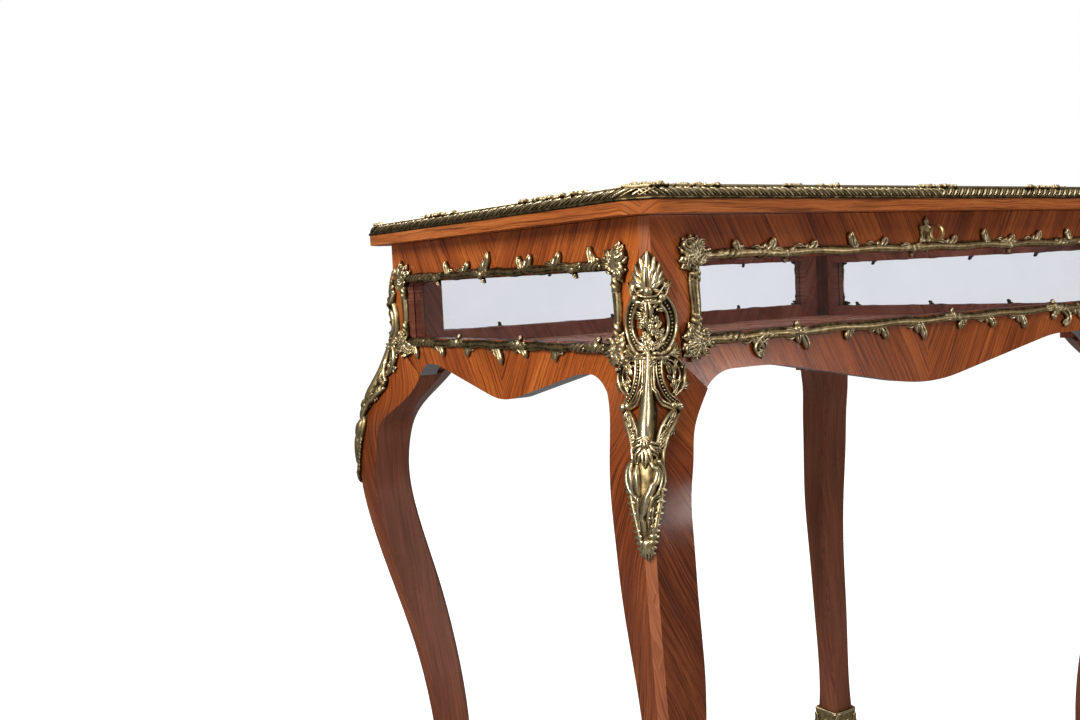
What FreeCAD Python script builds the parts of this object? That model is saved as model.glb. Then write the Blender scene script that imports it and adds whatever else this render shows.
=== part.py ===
"""Glazed display table on four cabriole legs, with a hinged glass lid and gilt brass mounts.

Millimetres, +Z up, floor at z = 0 under the middle of the case.  The long front faces -Y.
Every driving size is a named cell of the sheet, and each piece is bound to those cells.
"""
import FreeCAD, Part
import Sketcher
import math
import os
import re

SIZES = {
    # case
    "case_width": 700, "case_depth": 460, "case_top": 748, "wall": 20,
    "tenon_thickness": 8, "tenon_length": 12, "tenon_drop": 9, "tenon_height": 90,
    # window openings, measured down from the case top and in from the case corner
    "front_jamb": 56, "front_window_drop": 38, "front_window_height": 62,
    "side_jamb": 40.5, "side_window_drop": 43, "side_window_height": 61.5,
    # apron: where the leg's ear ends, and how the lower edge runs to the middle lobe
    "front_post": 33, "front_joint_drop": 123, "front_ear": 61, "front_arch_centre": 91,
    "front_arch_drop": 131.5, "front_arch_radius": 39, "front_arch_flat": 30,
    "front_shoulder_radius": 230, "front_lobe_drop": 165, "front_lobe_radius": 260,
    "side_post": 30, "side_joint_drop": 123, "side_ear": 59.8, "side_arch_centre": 84,
    "side_arch_drop": 132, "side_arch_radius": 28, "side_arch_flat": 2,
    "side_shoulder_radius": 92, "side_lobe_drop": 162.5, "side_lobe_radius": 100,
    # glazing
    "rebate": 6, "lip": 7, "glass": 3, "pane_play": 0.3,
    # floor
    "floor_drop": 119, "floor_board": 12, "lining": 2, "lining_play": 0.5,
    "batten": 12, "front_batten": 300, "side_batten": 150,
    "block_front": 34, "block_side": 28,
    # legs
    "arris": 6.5, "knee_drop": 258, "sabot_sole": 2,
    # brass on the case
    "frame_rod": 4.6, "frame_stand": 1.6, "front_frame_post": 5.5, "side_frame_post": 4.5,
    "boss_radius": 17, "boss_sink": 10.2, "sprig": 1.6, "sprig_sink": 0.4,
    "mount_thickness": 4.5, "mount_crown": 7.5, "crown_share": 0.75,
    "leaf_drop": 58, "leaf_height": 28, "leaf_width": 10,
    "cartouche_drop": 85, "cartouche_height": 35, "cartouche_width": 18,
    "scroll_drop": 142, "scroll_height": 35, "scroll_width": 23,
    "shield_drop": 203, "shield_height": 42, "shield_width": 13,
    "tail_drop": 247, "tail_height": 31, "tail_width": 6,
    "pierce_width": 3, "pierce_height": 16, "pierce_offset": 10,
    "top_screw_drop": 44, "sabot_height": 52, "sabot_thickness": 3,
    # fasteners
    "screw_head": 2.6, "screw_head_height": 1.2, "screw_shank": 1.3, "screw_length": 12,
    "leaf_screw_length": 8, "pin_head": 1.5, "pin_head_height": 0.8, "pin_shank": 0.7,
    "pin_length": 8, "hole_play": 0.1,
    # lid
    "lid_gap": 0.4, "lid_overhang": 23, "lid_thickness": 19, "lid_edge": 11, "lid_cant": 21,
    "lid_bend": 12, "lid_bevel": 8, "lid_rail": 68, "lid_rebate_depth": 8, "lid_rebate": 8,
    "lid_glass": 4,
    "border_proud": 1.5, "border_rise": 1.6, "border_seat": 6, "border_bevel": 6, "border_bend": 2,
    "lid_frame_rod": 5, "lid_frame_stand": 4, "lid_boss_radius": 17, "lid_boss_sink": 6.5,
    "lid_pin_length": 16,
    # hinges
    "hinge_offset": 7, "barrel": 3.5, "knuckle": 12, "hinge_inset": 150,
    "hinge_leaf": 2, "hinge_reach": 18, "hinge_pin": 1.3, "pin_fit": 0.02, "pin_play": 0.05,
    "knuckle_gap": 0.3, "barrel_play": 0.5, "leaf_screw_pitch": 20, "leaf_screw_reach": 9,
    # lock
    "lock_width": 44, "lock_depth": 12, "lock_height": 28, "lock_wall": 1.5,
    "selvage": 8, "key_drop": 21, "key_shank": 2, "key_play": 0.3, "key_fit": 0.05,
    "key_stem": 23.5,
    "key_bit": 5, "key_bit_width": 3, "key_bit_length": 4, "bow_radius": 7, "bow_wire": 1.6,
    "scutcheon_width": 12, "scutcheon_height": 13, "scutcheon_thickness": 1.2,
    "bolt_thickness": 3, "bolt_bar": 4, "bolt_drop": 15, "bolt_throw": 5.5, "bolt_arm": 2.5,
    "bolt_tail": 11, "bolt_play": 0.3, "ledge": 11,
    "link_spread": 18, "link_thickness": 2, "link_width": 6.5, "link_depth": 9,
    "link_wall": 1.5, "link_hole_width": 4, "link_hole_height": 5,
    "link_plate": 2, "link_plate_depth": 11, "link_play": 0.6,
    "link_screw_inset": 5,
}

# Leg template, drops from the case top; above the brow the leg is straight.  out: how far the arris stands beyond the case
# corner; twist: how much of that the inner edge of each face shares; front and side: where
# the front face and the side face end, measured in from the case corner; bevel: the size of
# the flat across the inner corner.
UPPER_STATIONS = [
    ("head", 0, 0, 0, 72, 66, 36),
    ("neck", 48, 0, 0, 72, 66, 36),
    ("brow", 96, 0, 0, 72, 66, 36),
    ("shoulder", 128, 7, 0, 71, 64, 36),
    ("ear", 151, 14, 0.1, 58, 56, 34),
    ("haunch", 176, 24, 0.6, 33.5, 38, 26),
    ("thigh", 200, 32, 1, 15.5, 17, 8),
    ("flank", 223, 35.6, 1, 9.2, 12.6, 5),
]
KNEE = ("knee", 37.2, 1, 8.3, 7.3, 4)
# The same below the knee, where the height is a share of the knee's own height.
LOWER_STATIONS = [
    ("shank", 0.9, 31.9, 1, 15, 8.8, 4),
    ("calf", 0.735, 15, 1, 33.9, 16.5, 4),
    ("shin", 0.571, -2.2, 1, 45.7, 29, 4),
    ("cuff", 0.408, -12.6, 1, 50.5, 40, 4),
    ("ankle", 0.265, -15.8, 1, 49, 43, 4),
    ("heel", 0.102, -8, 1, 42.5, 40, 4),
]
TOE = ("toe", 1, 1, 40, 38, 4)

KNEE_HEIGHT = "(case_top - knee_drop)"
FLOOR_TOP = "case_top - floor_drop"
FLOOR_UNDERSIDE = "case_top - floor_drop - floor_board"
SHELF = "case_top - floor_drop - floor_board - batten"
LID_UNDERSIDE = "case_top + lid_gap"
LID_TOP = "case_top + lid_gap + lid_thickness"
FACE_Y = "(-case_depth / 2)"
BOARD_Y = "(wall - case_depth / 2)"
LOCK_FRONT = "(wall - lock_depth - case_depth / 2)"
LOCK_Y = "(wall - lock_depth / 2 - case_depth / 2)"
KEY_LEVEL = "(case_top - key_drop)"
TENON_IN = "(wall - tenon_thickness) / 2"
TENON_OUT = "(wall + tenon_thickness) / 2"
TENON_LOW = "case_top - tenon_drop - tenon_height"
TENON_HIGH = "case_top - tenon_drop"
HINGE_LENGTH = "(5 * knuckle)"
HINGE_CENTRES = {"left": "(hinge_inset - case_width / 2)", "right": "(case_width / 2 - hinge_inset)"}
PIVOT_Y = "case_depth / 2 + hinge_offset"
PIVOT_Z = "case_top + lid_gap / 2"
LID_HALF_WIDTH = "(case_width / 2 + lid_overhang)"
LID_HALF_DEPTH = "(case_depth / 2 + lid_overhang)"

# Twigs that sprout from the window rails: where along the half length, and how far they
# rise from the top rail or hang from the bottom rail.
SPRIGS = {
    "front": {"top": [(-0.86, 12), (-0.707, 13), (-0.53, 10), (-0.37, 16), (-0.21, 11),
                      (0.14, 11), (0.3, 16), (0.46, 10), (0.62, 13), (0.79, 14)],
              "bottom": [(-0.76, 13), (-0.58, 17), (-0.4, 12), (-0.22, 15), (-0.03, 19),
                         (0.16, 12), (0.34, 14), (0.52, 18), (0.7, 12), (0.87, 14)]},
    "side": {"top": [(-0.508, 15), (-0.27, 13), (-0.058, 21), (0.238, 14), (0.338, 15),
                     (0.587, 15), (0.835, 17)],
             "bottom": [(-0.902, 18), (-0.59, 14), (-0.32, 13), (0.024, 19), (0.262, 11),
                        (0.516, 13)]},
}

doc = FreeCAD.newDocument("display_table")
sheet = doc.addObject("Spreadsheet::Sheet", "sizes")
aliases = set()
subparts = []


# ---------------------------------------------------------------- sizes
def store(alias, number):
    """Put one driving size in the sheet under its own name."""
    row = len(aliases) + 1
    sheet.set(f"A{row}", alias)
    sheet.set(f"B{row}", str(number))
    sheet.setAlias(f"B{row}", alias)
    aliases.add(alias)


def bound(text):
    """Turn names of sizes in a formula into references to the sheet."""
    return re.sub(r"[a-z]\w*", lambda word: f"sizes.{word.group()}"
                  if word.group() in aliases else word.group(), str(text))


def value(text):
    """The number that a formula of sizes gives."""
    return float(sheet.evalExpression(bound(text)))


def store_all():
    """Fill the sheet with the sizes and the leg's template."""
    for alias, number in SIZES.items():
        store(alias, number)
    for name, drop, *rest in UPPER_STATIONS:
        store(f"{name}_drop", drop)
    for name, share, *rest in LOWER_STATIONS:
        store(f"{name}_share", share)
    stations = [(row[0], *row[2:]) for row in UPPER_STATIONS + LOWER_STATIONS]
    for name, out, twist, front, side, bevel in stations + [KNEE, TOE]:
        store(f"{name}_out", out)
        store(f"{name}_twist", twist)
        store(f"{name}_front", front)
        store(f"{name}_side", side)
        store(f"{name}_bevel", bevel)
    doc.recompute()


# ---------------------------------------------------------------- building blocks
AXES = {"x": FreeCAD.Rotation(FreeCAD.Vector(0, 1, 0), 90),
        "y": FreeCAD.Rotation(FreeCAD.Vector(1, 0, 0), -90),
        "z": FreeCAD.Rotation()}
INWARD = FreeCAD.Rotation(FreeCAD.Vector(0, 0, 1), FreeCAD.Vector(1, 1, 0))


def place(item, spot, turn=None):
    """Bind where an object stands, turned by a rotation first."""
    if turn is not None:
        item.Placement = FreeCAD.Placement(FreeCAD.Vector(), turn)
    for axis, where in zip("xyz", spot):
        item.setExpression(f"Placement.Base.{axis}", bound(where))
    return item


def box(label, low, high):
    """A block between two corners given as formulas."""
    block = doc.addObject("Part::Box", label)
    for edge, first, last in zip(("Length", "Width", "Height"), low, high):
        block.setExpression(edge, bound(f"({last}) - ({first})"))
    return place(block, low)


def rod(label, turn, start, radius, length):
    """A cylinder that runs from its start along a turned axis."""
    bar = doc.addObject("Part::Cylinder", label)
    bar.setExpression("Radius", bound(radius))
    bar.setExpression("Height", bound(length))
    return place(bar, start, turn)


def ball(label, centre, radius):
    """A sphere about a point."""
    sphere = doc.addObject("Part::Sphere", label)
    sphere.setExpression("Radius", bound(radius))
    return place(sphere, centre)


def joined(label, pieces):
    """One shape from pieces that meet."""
    union = doc.addObject("Part::MultiFuse", label)
    union.Shapes = pieces
    return union


def grouped(label, pieces):
    """Separate solids that share one node."""
    compound = doc.addObject("Part::Compound", label)
    compound.Links = pieces
    return compound


def cut(label, base, tools):
    """A piece with the tools taken out of it."""
    result = doc.addObject("Part::Cut", label)
    result.Base = base
    result.Tool = tools[0] if len(tools) == 1 else grouped(f"{label}_tools", tools)
    return result


def shared(label, first, second):
    """What two shapes have in common."""
    result = doc.addObject("Part::Common", label)
    result.Base = first
    result.Tool = second
    return result


def mirrored(label, source, normal):
    """The twin of a piece across one of the table's middle planes."""
    twin = doc.addObject("Part::Mirroring", label)
    twin.Source = source
    twin.Normal = FreeCAD.Vector(*normal)
    return twin


def keep(item):
    """Count an object as a piece of the table, filed under its label."""
    subparts.append(item)
    return item


def bind_point(sketch, geometry, point, x, y):
    """Bind one point of a sketch's geometry to formulas."""
    for kind, where in (("DistanceX", x), ("DistanceY", y)):
        rule = Sketcher.Constraint(kind, -1, 1, geometry, point, value(where))
        index = sketch.addConstraint(rule)
        sketch.setExpression(f"Constraints[{index}]", bound(where))


def draw_polygon(sketch, corners):
    """A closed outline through corners given as formulas."""
    spots = [FreeCAD.Vector(value(x), value(y), 0) for x, y in corners]
    for first, last in zip(spots, spots[1:] + spots[:1]):
        sketch.addGeometry(Part.LineSegment(first, last))
    for index, (x, y) in enumerate(corners):
        following = (index + 1) % len(corners)
        sketch.addConstraint(Sketcher.Constraint("Coincident", index, 2, following, 1))
        bind_point(sketch, index, 1, x, y)


def extruded(label, corners, plane, start, length):
    """A prism on a polygon in the xy, xz or yz plane, from start along the third axis."""
    turns = {"xy": FreeCAD.Rotation(), "yz": FreeCAD.Rotation(0.5, 0.5, 0.5, 0.5),
             "xz": FreeCAD.Rotation(FreeCAD.Vector(1, 0, 0), 90)}
    ways = {"xy": (0, 0, 1), "yz": (1, 0, 0), "xz": (0, 1, 0)}
    sketch = doc.addObject("Sketcher::SketchObject", f"{label}_outline")
    sketch.Placement = FreeCAD.Placement(FreeCAD.Vector(), turns[plane])
    if callable(corners):
        corners(sketch)
    else:
        draw_polygon(sketch, corners)
    axis = ({"x", "y", "z"} - set(plane)).pop()
    sketch.setExpression(f"Placement.Base.{axis}", bound(start))
    prism = doc.addObject("Part::Extrusion", label)
    prism.Base = sketch
    prism.DirMode = "Custom"
    prism.Dir = FreeCAD.Vector(*ways[plane])
    prism.Solid = True
    prism.setExpression("LengthFwd", bound(length))
    return prism


def body_sketch(body, label, height, corners):
    """A polygon parallel to the body's own xy plane, at a height."""
    plane = next(item for item in body.Origin.OriginFeatures if item.Role == "XY_Plane")
    sketch = body.newObject("Sketcher::SketchObject", label)
    sketch.AttachmentSupport = [(plane, "")]
    sketch.MapMode = "FlatFace"
    sketch.setExpression("AttachmentOffset.Base.z", bound(height))
    draw_polygon(sketch, corners)
    return sketch


def lofted(label, sections):
    """A body through polygons given as (name, height, corners)."""
    body = doc.addObject("PartDesign::Body", label)
    sketches = [body_sketch(body, f"{label}_{name}", height, corners)
                for name, height, corners in sections]
    doc.recompute()
    loft = body.newObject("PartDesign::AdditiveLoft", f"{label}_loft")
    loft.Profile = sketches[0]
    loft.Sections = sketches[1:]
    body.Tip = loft
    return body


def canted_slab(label, half_width, half_depth, bottom, height, cant, bend, bevel=None):
    """A slab with canted corners and soft bends, its top edge bevelled where one is given."""
    body = doc.addObject("PartDesign::Body", label)
    x, y = f"({half_width})", f"({half_depth})"
    cut_x, cut_y = f"({half_width} - ({cant}))", f"({half_depth} - ({cant}))"
    corners = [(f"-{x}", f"-{cut_y}"), (f"-{cut_x}", f"-{y}"), (cut_x, f"-{y}"),
               (x, f"-{cut_y}"), (x, cut_y), (cut_x, y), (f"-{cut_x}", y), (f"-{x}", cut_y)]
    sketch = body_sketch(body, f"{label}_outline", bottom, corners)
    pad = body.newObject("PartDesign::Pad", f"{label}_pad")
    pad.Profile = sketch
    pad.setExpression("Length", bound(height))
    doc.recompute()
    upright = [f"Edge{number}" for number, edge in enumerate(pad.Shape.Edges, 1)
               if abs(edge.tangentAt(edge.FirstParameter).z) > 0.9]
    fillet = body.newObject("PartDesign::Fillet", f"{label}_corners")
    fillet.Base = (pad, upright)
    fillet.setExpression("Radius", bound(bend))
    body.Tip = fillet
    if bevel:
        doc.recompute()
        top = fillet.Shape.BoundBox.ZMax
        rim = next(f"Face{number}" for number, face in enumerate(fillet.Shape.Faces, 1)
                   if face.BoundBox.ZMin > top - 1e-6)
        chamfer = body.newObject("PartDesign::Chamfer", f"{label}_bevel")
        chamfer.Base = (fillet, [rim])
        chamfer.setExpression("Size", bound(bevel))
        body.Tip = chamfer
    return body


def screw(label, turn, along, spot, sizes, play="0"):
    """A headed pin whose head's outer face is at spot and which runs the way of along."""
    head, head_height, shank, length = sizes
    behind = [f"{where} + ({step}) * {head_height}" for where, step in zip(spot, along)]
    return joined(label, [
        rod(f"{label}_head", turn, spot, f"{head} + {play}", head_height),
        rod(f"{label}_shank", turn, behind, f"{shank} + {play}", length)])


WOOD_SCREW = ("screw_head", "screw_head_height", "screw_shank", "screw_length")
LEAF_SCREW = ("screw_head", "screw_head_height", "screw_shank", "leaf_screw_length")
BRASS_PIN = ("pin_head", "pin_head_height", "pin_shank", "pin_length")
LID_PIN = ("pin_head", "pin_head_height", "pin_shank", "lid_pin_length")
DOWN = FreeCAD.Rotation(FreeCAD.Vector(1, 0, 0), 180)
DIAGONAL = 1 / math.sqrt(2)


def fasten(label, turn, along, spots, sizes):
    """Screws at several spots, and the holes that they need."""
    screws = [screw(f"{label}_{number}", turn, along, spot, sizes)
              for number, spot in enumerate(spots)]
    holes = [screw(f"{label}_hole_{number}", turn, along, spot, sizes, "hole_play")
             for number, spot in enumerate(spots)]
    return screws, holes


# ---------------------------------------------------------------- the four faces of the case
FACES = {
    "front": ("front", 0, ("0", "-case_depth / 2", "0")),
    "back": ("front", 180, ("0", "case_depth / 2", "0")),
    "left": ("side", -90, ("-case_width / 2", "0", "0")),
    "right": ("side", 90, ("case_width / 2", "0", "0")),
}
HALF = {"front": "case_width / 2", "side": "case_depth / 2"}


def stand(item, face):
    """Turn a piece drawn with its outer face at y = 0 to its side of the case."""
    angle, spot = FACES[face][1:]
    return place(item, spot, FreeCAD.Rotation(FreeCAD.Vector(0, 0, 1), angle))


def ear_height(kind):
    """Where the end of the leg's ear meets the arch of the apron."""
    return (f"case_top - {kind}_arch_drop - {kind}_arch_radius + "
            f"sqrt({kind}_arch_radius ^ 2 - ({kind}_arch_centre - {kind}_ear) ^ 2)")


def draw_apron(sketch, kind):
    """Outline of an apron board: square top, slanted ends, two arches and a lobe."""
    half = HALF[kind]
    end = f"({half} - {kind}_post)"
    foot = f"({half} - {kind}_ear)"
    arch = f"({half} - {kind}_arch_centre)"
    flat = f"({half} - {kind}_arch_centre - {kind}_arch_flat)"
    joint = f"case_top - {kind}_joint_drop"
    crown = f"case_top - {kind}_arch_drop"
    arch_eye = f"{crown} - {kind}_arch_radius"
    shoulder_eye = f"{crown} - {kind}_shoulder_radius"
    lobe_eye = f"case_top - {kind}_lobe_drop + {kind}_lobe_radius"

    shoulder_radius = value(f"{kind}_shoulder_radius")
    lobe_radius = value(f"{kind}_lobe_radius")
    across = value(flat)
    rise = value(lobe_eye) - value(shoulder_eye)
    reach = math.hypot(across, rise)
    slope = math.atan2(across, rise) - math.acos((shoulder_radius + lobe_radius) / reach)

    def arc(x, y, radius, start, stop):
        circle = Part.Circle(FreeCAD.Vector(value(x), value(y), 0), FreeCAD.Vector(0, 0, 1),
                             value(radius))
        return Part.ArcOfCircle(circle, start, stop)

    def spot(x, y):
        return FreeCAD.Vector(value(x), value(y), 0)

    upright = math.pi / 2
    foot_angle = math.asin((value(ear_height(kind)) - value(arch_eye))
                           / value(f"{kind}_arch_radius"))
    right_shoulder = arc(flat, shoulder_eye, f"{kind}_shoulder_radius",
                         upright, upright + slope)
    left_shoulder = arc(f"-{flat}", shoulder_eye, f"{kind}_shoulder_radius",
                        upright - slope, upright)
    lobe = arc("0", lobe_eye, f"{kind}_lobe_radius", -upright - slope, -upright + slope)
    pieces = [
        Part.LineSegment(spot(f"-{end}", "case_top"), spot(end, "case_top")),
        Part.LineSegment(spot(end, "case_top"), spot(end, joint)),
        Part.LineSegment(spot(end, joint), spot(foot, ear_height(kind))),
        arc(arch, arch_eye, f"{kind}_arch_radius", foot_angle, upright),
        Part.LineSegment(spot(arch, crown), spot(flat, crown)),
        right_shoulder,
        Part.LineSegment(right_shoulder.EndPoint, lobe.EndPoint),
        lobe,
        Part.LineSegment(lobe.StartPoint, left_shoulder.StartPoint),
        left_shoulder,
        Part.LineSegment(spot(f"-{flat}", crown), spot(f"-{arch}", crown)),
        arc(f"-{arch}", arch_eye, f"{kind}_arch_radius", upright, math.pi - foot_angle),
        Part.LineSegment(spot(f"-{foot}", ear_height(kind)), spot(f"-{end}", joint)),
        Part.LineSegment(spot(f"-{end}", joint), spot(f"-{end}", "case_top")),
    ]
    for piece in pieces:
        sketch.addGeometry(piece)

    def rule(*arguments):
        sketch.addConstraint(Sketcher.Constraint(*arguments))

    for first, last in ((0, 1), (1, 2), (2, 3), (3, 4), (4, 5), (9, 10), (10, 11), (11, 12),
                        (12, 13), (13, 0)):
        rule("Coincident", first, 2, last, 1)
    rule("Tangent", 5, 2, 6, 1)
    rule("Tangent", 6, 2, 7, 2)
    rule("Tangent", 7, 1, 8, 1)
    rule("Tangent", 8, 2, 9, 1)
    bind_point(sketch, 0, 1, f"-{end}", "case_top")
    bind_point(sketch, 0, 2, end, "case_top")
    bind_point(sketch, 1, 2, end, joint)
    bind_point(sketch, 2, 2, foot, ear_height(kind))
    bind_point(sketch, 4, 1, arch, crown)
    bind_point(sketch, 4, 2, flat, crown)
    bind_point(sketch, 5, 3, flat, shoulder_eye)
    bind_point(sketch, 7, 3, "0", lobe_eye)
    bind_point(sketch, 9, 3, f"-{flat}", shoulder_eye)
    bind_point(sketch, 10, 1, f"-{flat}", crown)
    bind_point(sketch, 10, 2, f"-{arch}", crown)
    bind_point(sketch, 11, 2, f"-{foot}", ear_height(kind))
    bind_point(sketch, 12, 2, f"-{end}", joint)
    for index, radius in ((3, f"{kind}_arch_radius"), (7, f"{kind}_lobe_radius"),
                          (11, f"{kind}_arch_radius")):
        number = sketch.addConstraint(Sketcher.Constraint("Radius", index, value(radius)))
        sketch.setExpression(f"Constraints[{number}]", bound(radius))


def window(kind, margin, front, back, label):
    """A block that fills the window opening, widened by a margin on all four sides."""
    reach = f"({HALF[kind]} - {kind}_jamb + ({margin}))"
    top = f"case_top - {kind}_window_drop"
    return box(label, (f"-{reach}", front, f"{top} - {kind}_window_height - ({margin})"),
               (reach, back, f"{top} + ({margin})"))


# ---------------------------------------------------------------- legs
def leg_section(name, extra="0"):
    """Corners of the leg's section at a station, widened by extra."""
    out = f"({name}_out + {extra})"
    inner = f"-{name}_twist * {out}"
    front = f"{name}_front + {extra}"
    side = f"{name}_side + {extra}"
    return [(f"arris - {out}", f"-{out}"), (f"-{out}", f"arris - {out}"), (inner, side),
            (f"{front} - {name}_bevel", side), (front, f"{side} - {name}_bevel"),
            (front, inner)]


def make_leg():
    """The front left leg and its blank, drawn about the corner of the case."""
    sections = [(row[0], f"case_top - {row[0]}_drop", leg_section(row[0]))
                for row in UPPER_STATIONS]
    sections.append(("knee", KNEE_HEIGHT, leg_section("knee")))
    sections += [(row[0], f"{row[0]}_share * {KNEE_HEIGHT}", leg_section(row[0]))
                 for row in LOWER_STATIONS]
    sections.append(("toe", "sabot_sole", leg_section("toe")))
    above = box("leg_loft_top", ("-knee_drop", "-knee_drop", "case_top - brow_drop"),
                ("knee_drop", "knee_drop", "case_top + wall"))
    head = extruded("leg_head", leg_section("brow"), "xy", "case_top - brow_drop", "brow_drop")
    blank = joined("leg_blank", [head, cut("leg_lower", lofted("leg_loft", sections), [above])])

    def ear_line(kind):
        past = "3 * knee_drop"
        return [(f"{kind}_post", f"case_top - {kind}_joint_drop"),
                (f"{kind}_ear", ear_height(kind)), (past, ear_height(kind)),
                (past, "case_top + wall"), (f"{kind}_post", "case_top + wall")]

    tools = [
        extruded("front_joint", ear_line("front"), "xz", "-knee_drop", "2 * knee_drop"),
        extruded("side_joint", ear_line("side"), "yz", "-knee_drop", "2 * knee_drop"),
        box("inner_corner", ("wall", "wall", SHELF),
            ("knee_drop", "knee_drop", "case_top + wall")),
        box("front_mortise", ("front_post - tenon_length", TENON_IN, TENON_LOW),
            ("front_post", TENON_OUT, TENON_HIGH)),
        box("side_mortise", (TENON_IN, "side_post - tenon_length", TENON_LOW),
            (TENON_OUT, "side_post", TENON_HIGH)),
    ]
    return blank, tools


def make_mount(blank):
    """The front left corner mount: a pierced skin over the leg's arris, with a raised crown."""
    along = FreeCAD.Vector(DIAGONAL, DIAGONAL, 0)
    across = FreeCAD.Vector(DIAGONAL, -DIAGONAL, 0)
    up = FreeCAD.Vector(0, 0, 1)
    depth = value("4 * knee_out")

    def oval(drop, half_height, half_width, offset=0, share=1):
        """An upright oval prism seen from the corner."""
        curve = Part.Ellipse(FreeCAD.Vector(), value(half_height) * share,
                             value(half_width) * share)
        face = Part.Face(Part.Wire([curve.toShape()]))
        face.Placement = FreeCAD.Placement(
            across * offset - along * (depth / 2) + up * value(f"case_top - {drop}"),
            FreeCAD.Rotation(up, across, along, "ZXY"))
        return face.extrude(along * depth)

    def raised(outline, thickness):
        """The leg's skin inside an outline, grown outwards by a thickness."""
        outer = blank.Shape.copy()
        outer.translate(FreeCAD.Vector(-value(thickness), -value(thickness), 0))
        return outer.common(outline)

    def merged(parts, share=1):
        """The ovals of several parts of the mount as one prism."""
        prisms = [oval(f"{part}_drop", f"{part}_height", f"{part}_width", share=share)
                  for part in parts]
        return prisms[0].multiFuse(prisms[1:])

    skin = raised(merged(["leaf", "cartouche", "scroll", "shield", "tail"]), "mount_thickness")
    crown = raised(merged(["cartouche", "scroll"], value("crown_share")), "mount_crown")
    skin = skin.fuse(crown).cut(blank.Shape)
    for part in ("cartouche", "scroll"):
        for side in (-1, 1):
            gap = oval(f"{part}_drop", "pierce_height", "pierce_width",
                       side * value("pierce_offset"))
            skin = skin.cut(gap)
    return skin


def corner_screws():
    """Screws that hold the corner mount: one in its leaf, one in its tail."""
    seat = "arris / 2 - mount_thickness"
    spots = [(seat, seat, "case_top - top_screw_drop"),
             (f"{seat} - knee_out", f"{seat} - knee_out", KNEE_HEIGHT)]
    way = (str(DIAGONAL), str(DIAGONAL), "0")
    return fasten("mount_screw", INWARD, way, spots, WOOD_SCREW)


def make_corner():
    """All that stands at the front left corner, as (label, piece) in the corner's frame."""
    blank, tools = make_leg()
    screws, holes = corner_screws()
    leg = cut("leg", blank, tools + holes)
    doc.recompute()
    mount = doc.addObject("Part::Feature", "knee_mount_blank")
    mount.Shape = make_mount(blank)
    drilled = cut("knee_mount", mount, holes)
    cup = lofted("sabot_blank", [
        ("floor", "0", leg_section("toe", "sabot_thickness")),
        ("rim", "sabot_height", leg_section("heel", "sabot_thickness"))])
    sabot = cut("sabot", cup, [blank])
    return [("leg", leg), ("knee_mount", drilled), ("sabot", sabot),
            ("mount_screws", grouped("mount_screws", screws)),
            ("corner_blank", grouped("corner_blank", [blank]))]


def at_corners(label, piece):
    """A piece drawn about the corner of the case, stood at each of the four corners."""
    place(piece, ("-case_width / 2", "-case_depth / 2", "0"))
    right = mirrored(f"{label}_front_right", piece, (1, 0, 0))
    return {"front_left": piece, "front_right": right,
            "back_left": mirrored(f"{label}_back_left", piece, (0, 1, 0)),
            "back_right": mirrored(f"{label}_back_right", right, (0, 1, 0))}


def make_corners():
    """The four legs with their mounts, sabots and screws; returns the legs' blanks."""
    rows = [(label, at_corners(label, piece)) for label, piece in make_corner()]
    blanks = rows.pop()[1]
    for label, twins in rows:
        if label == "mount_screws":
            keep(grouped("mount_screw_set", list(twins.values()))).Label = "knee_mount_screws"
            continue
        for corner, piece in twins.items():
            piece.Label = f"{label}_{corner}"
            keep(piece)
    return blanks


# ---------------------------------------------------------------- case sides
def key_slot(label, fit, play, front, back):
    """The round hole for the key's stem with the slot for its bit."""
    return [rod(f"{label}_hole", AXES["y"], ("0", front, KEY_LEVEL), f"key_shank + {fit}",
                f"({back}) - ({front})"),
            box(f"{label}_slot",
                (f"-key_bit_width / 2 - {play}", front, f"{KEY_LEVEL} - key_bit - {play}"),
                (f"key_bit_width / 2 + {play}", back, KEY_LEVEL))]


def lock_seat():
    """The mortise in the front's top rail that takes the lock, and the keyhole."""
    plate = "(lock_width / 2 + selvage)"
    return [box("lock_mortise", ("-lock_width / 2", LOCK_FRONT, "case_top - lock_height"),
                ("lock_width / 2", "0", "case_top + wall")),
            box("selvage_seat", (f"-{plate}", LOCK_FRONT, "case_top - lock_wall"),
                (plate, "0", "case_top + wall")),
            *key_slot("frieze_key", "key_play", "key_play", f"{FACE_Y} - wall", LOCK_Y)]


def hinge_seats():
    """The notches in the back's top edge that take the hinge leaves."""
    return [box(f"hinge_seat_{side}",
                (f"{centre} - {HINGE_LENGTH} / 2", "case_depth / 2 - hinge_reach",
                 "case_top - hinge_leaf"),
                (f"{centre} + {HINGE_LENGTH} / 2", "case_depth", "case_top + wall"))
            for side, centre in HINGE_CENTRES.items()]


def window_pins(face, kind):
    """Brass pins through the rails of a window frame."""
    top = f"case_top - {kind}_window_drop"
    levels = (f"{top} + frame_rod", f"{top} - {kind}_window_height - frame_rod")
    spots = [(f"{sign}{HALF[kind]} / 2", "-frame_stand - frame_rod", level)
             for sign in ("-", "") for level in levels]
    return fasten(f"{face}_pin", AXES["y"], ("0", "1", "0"), spots, BRASS_PIN)


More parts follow.
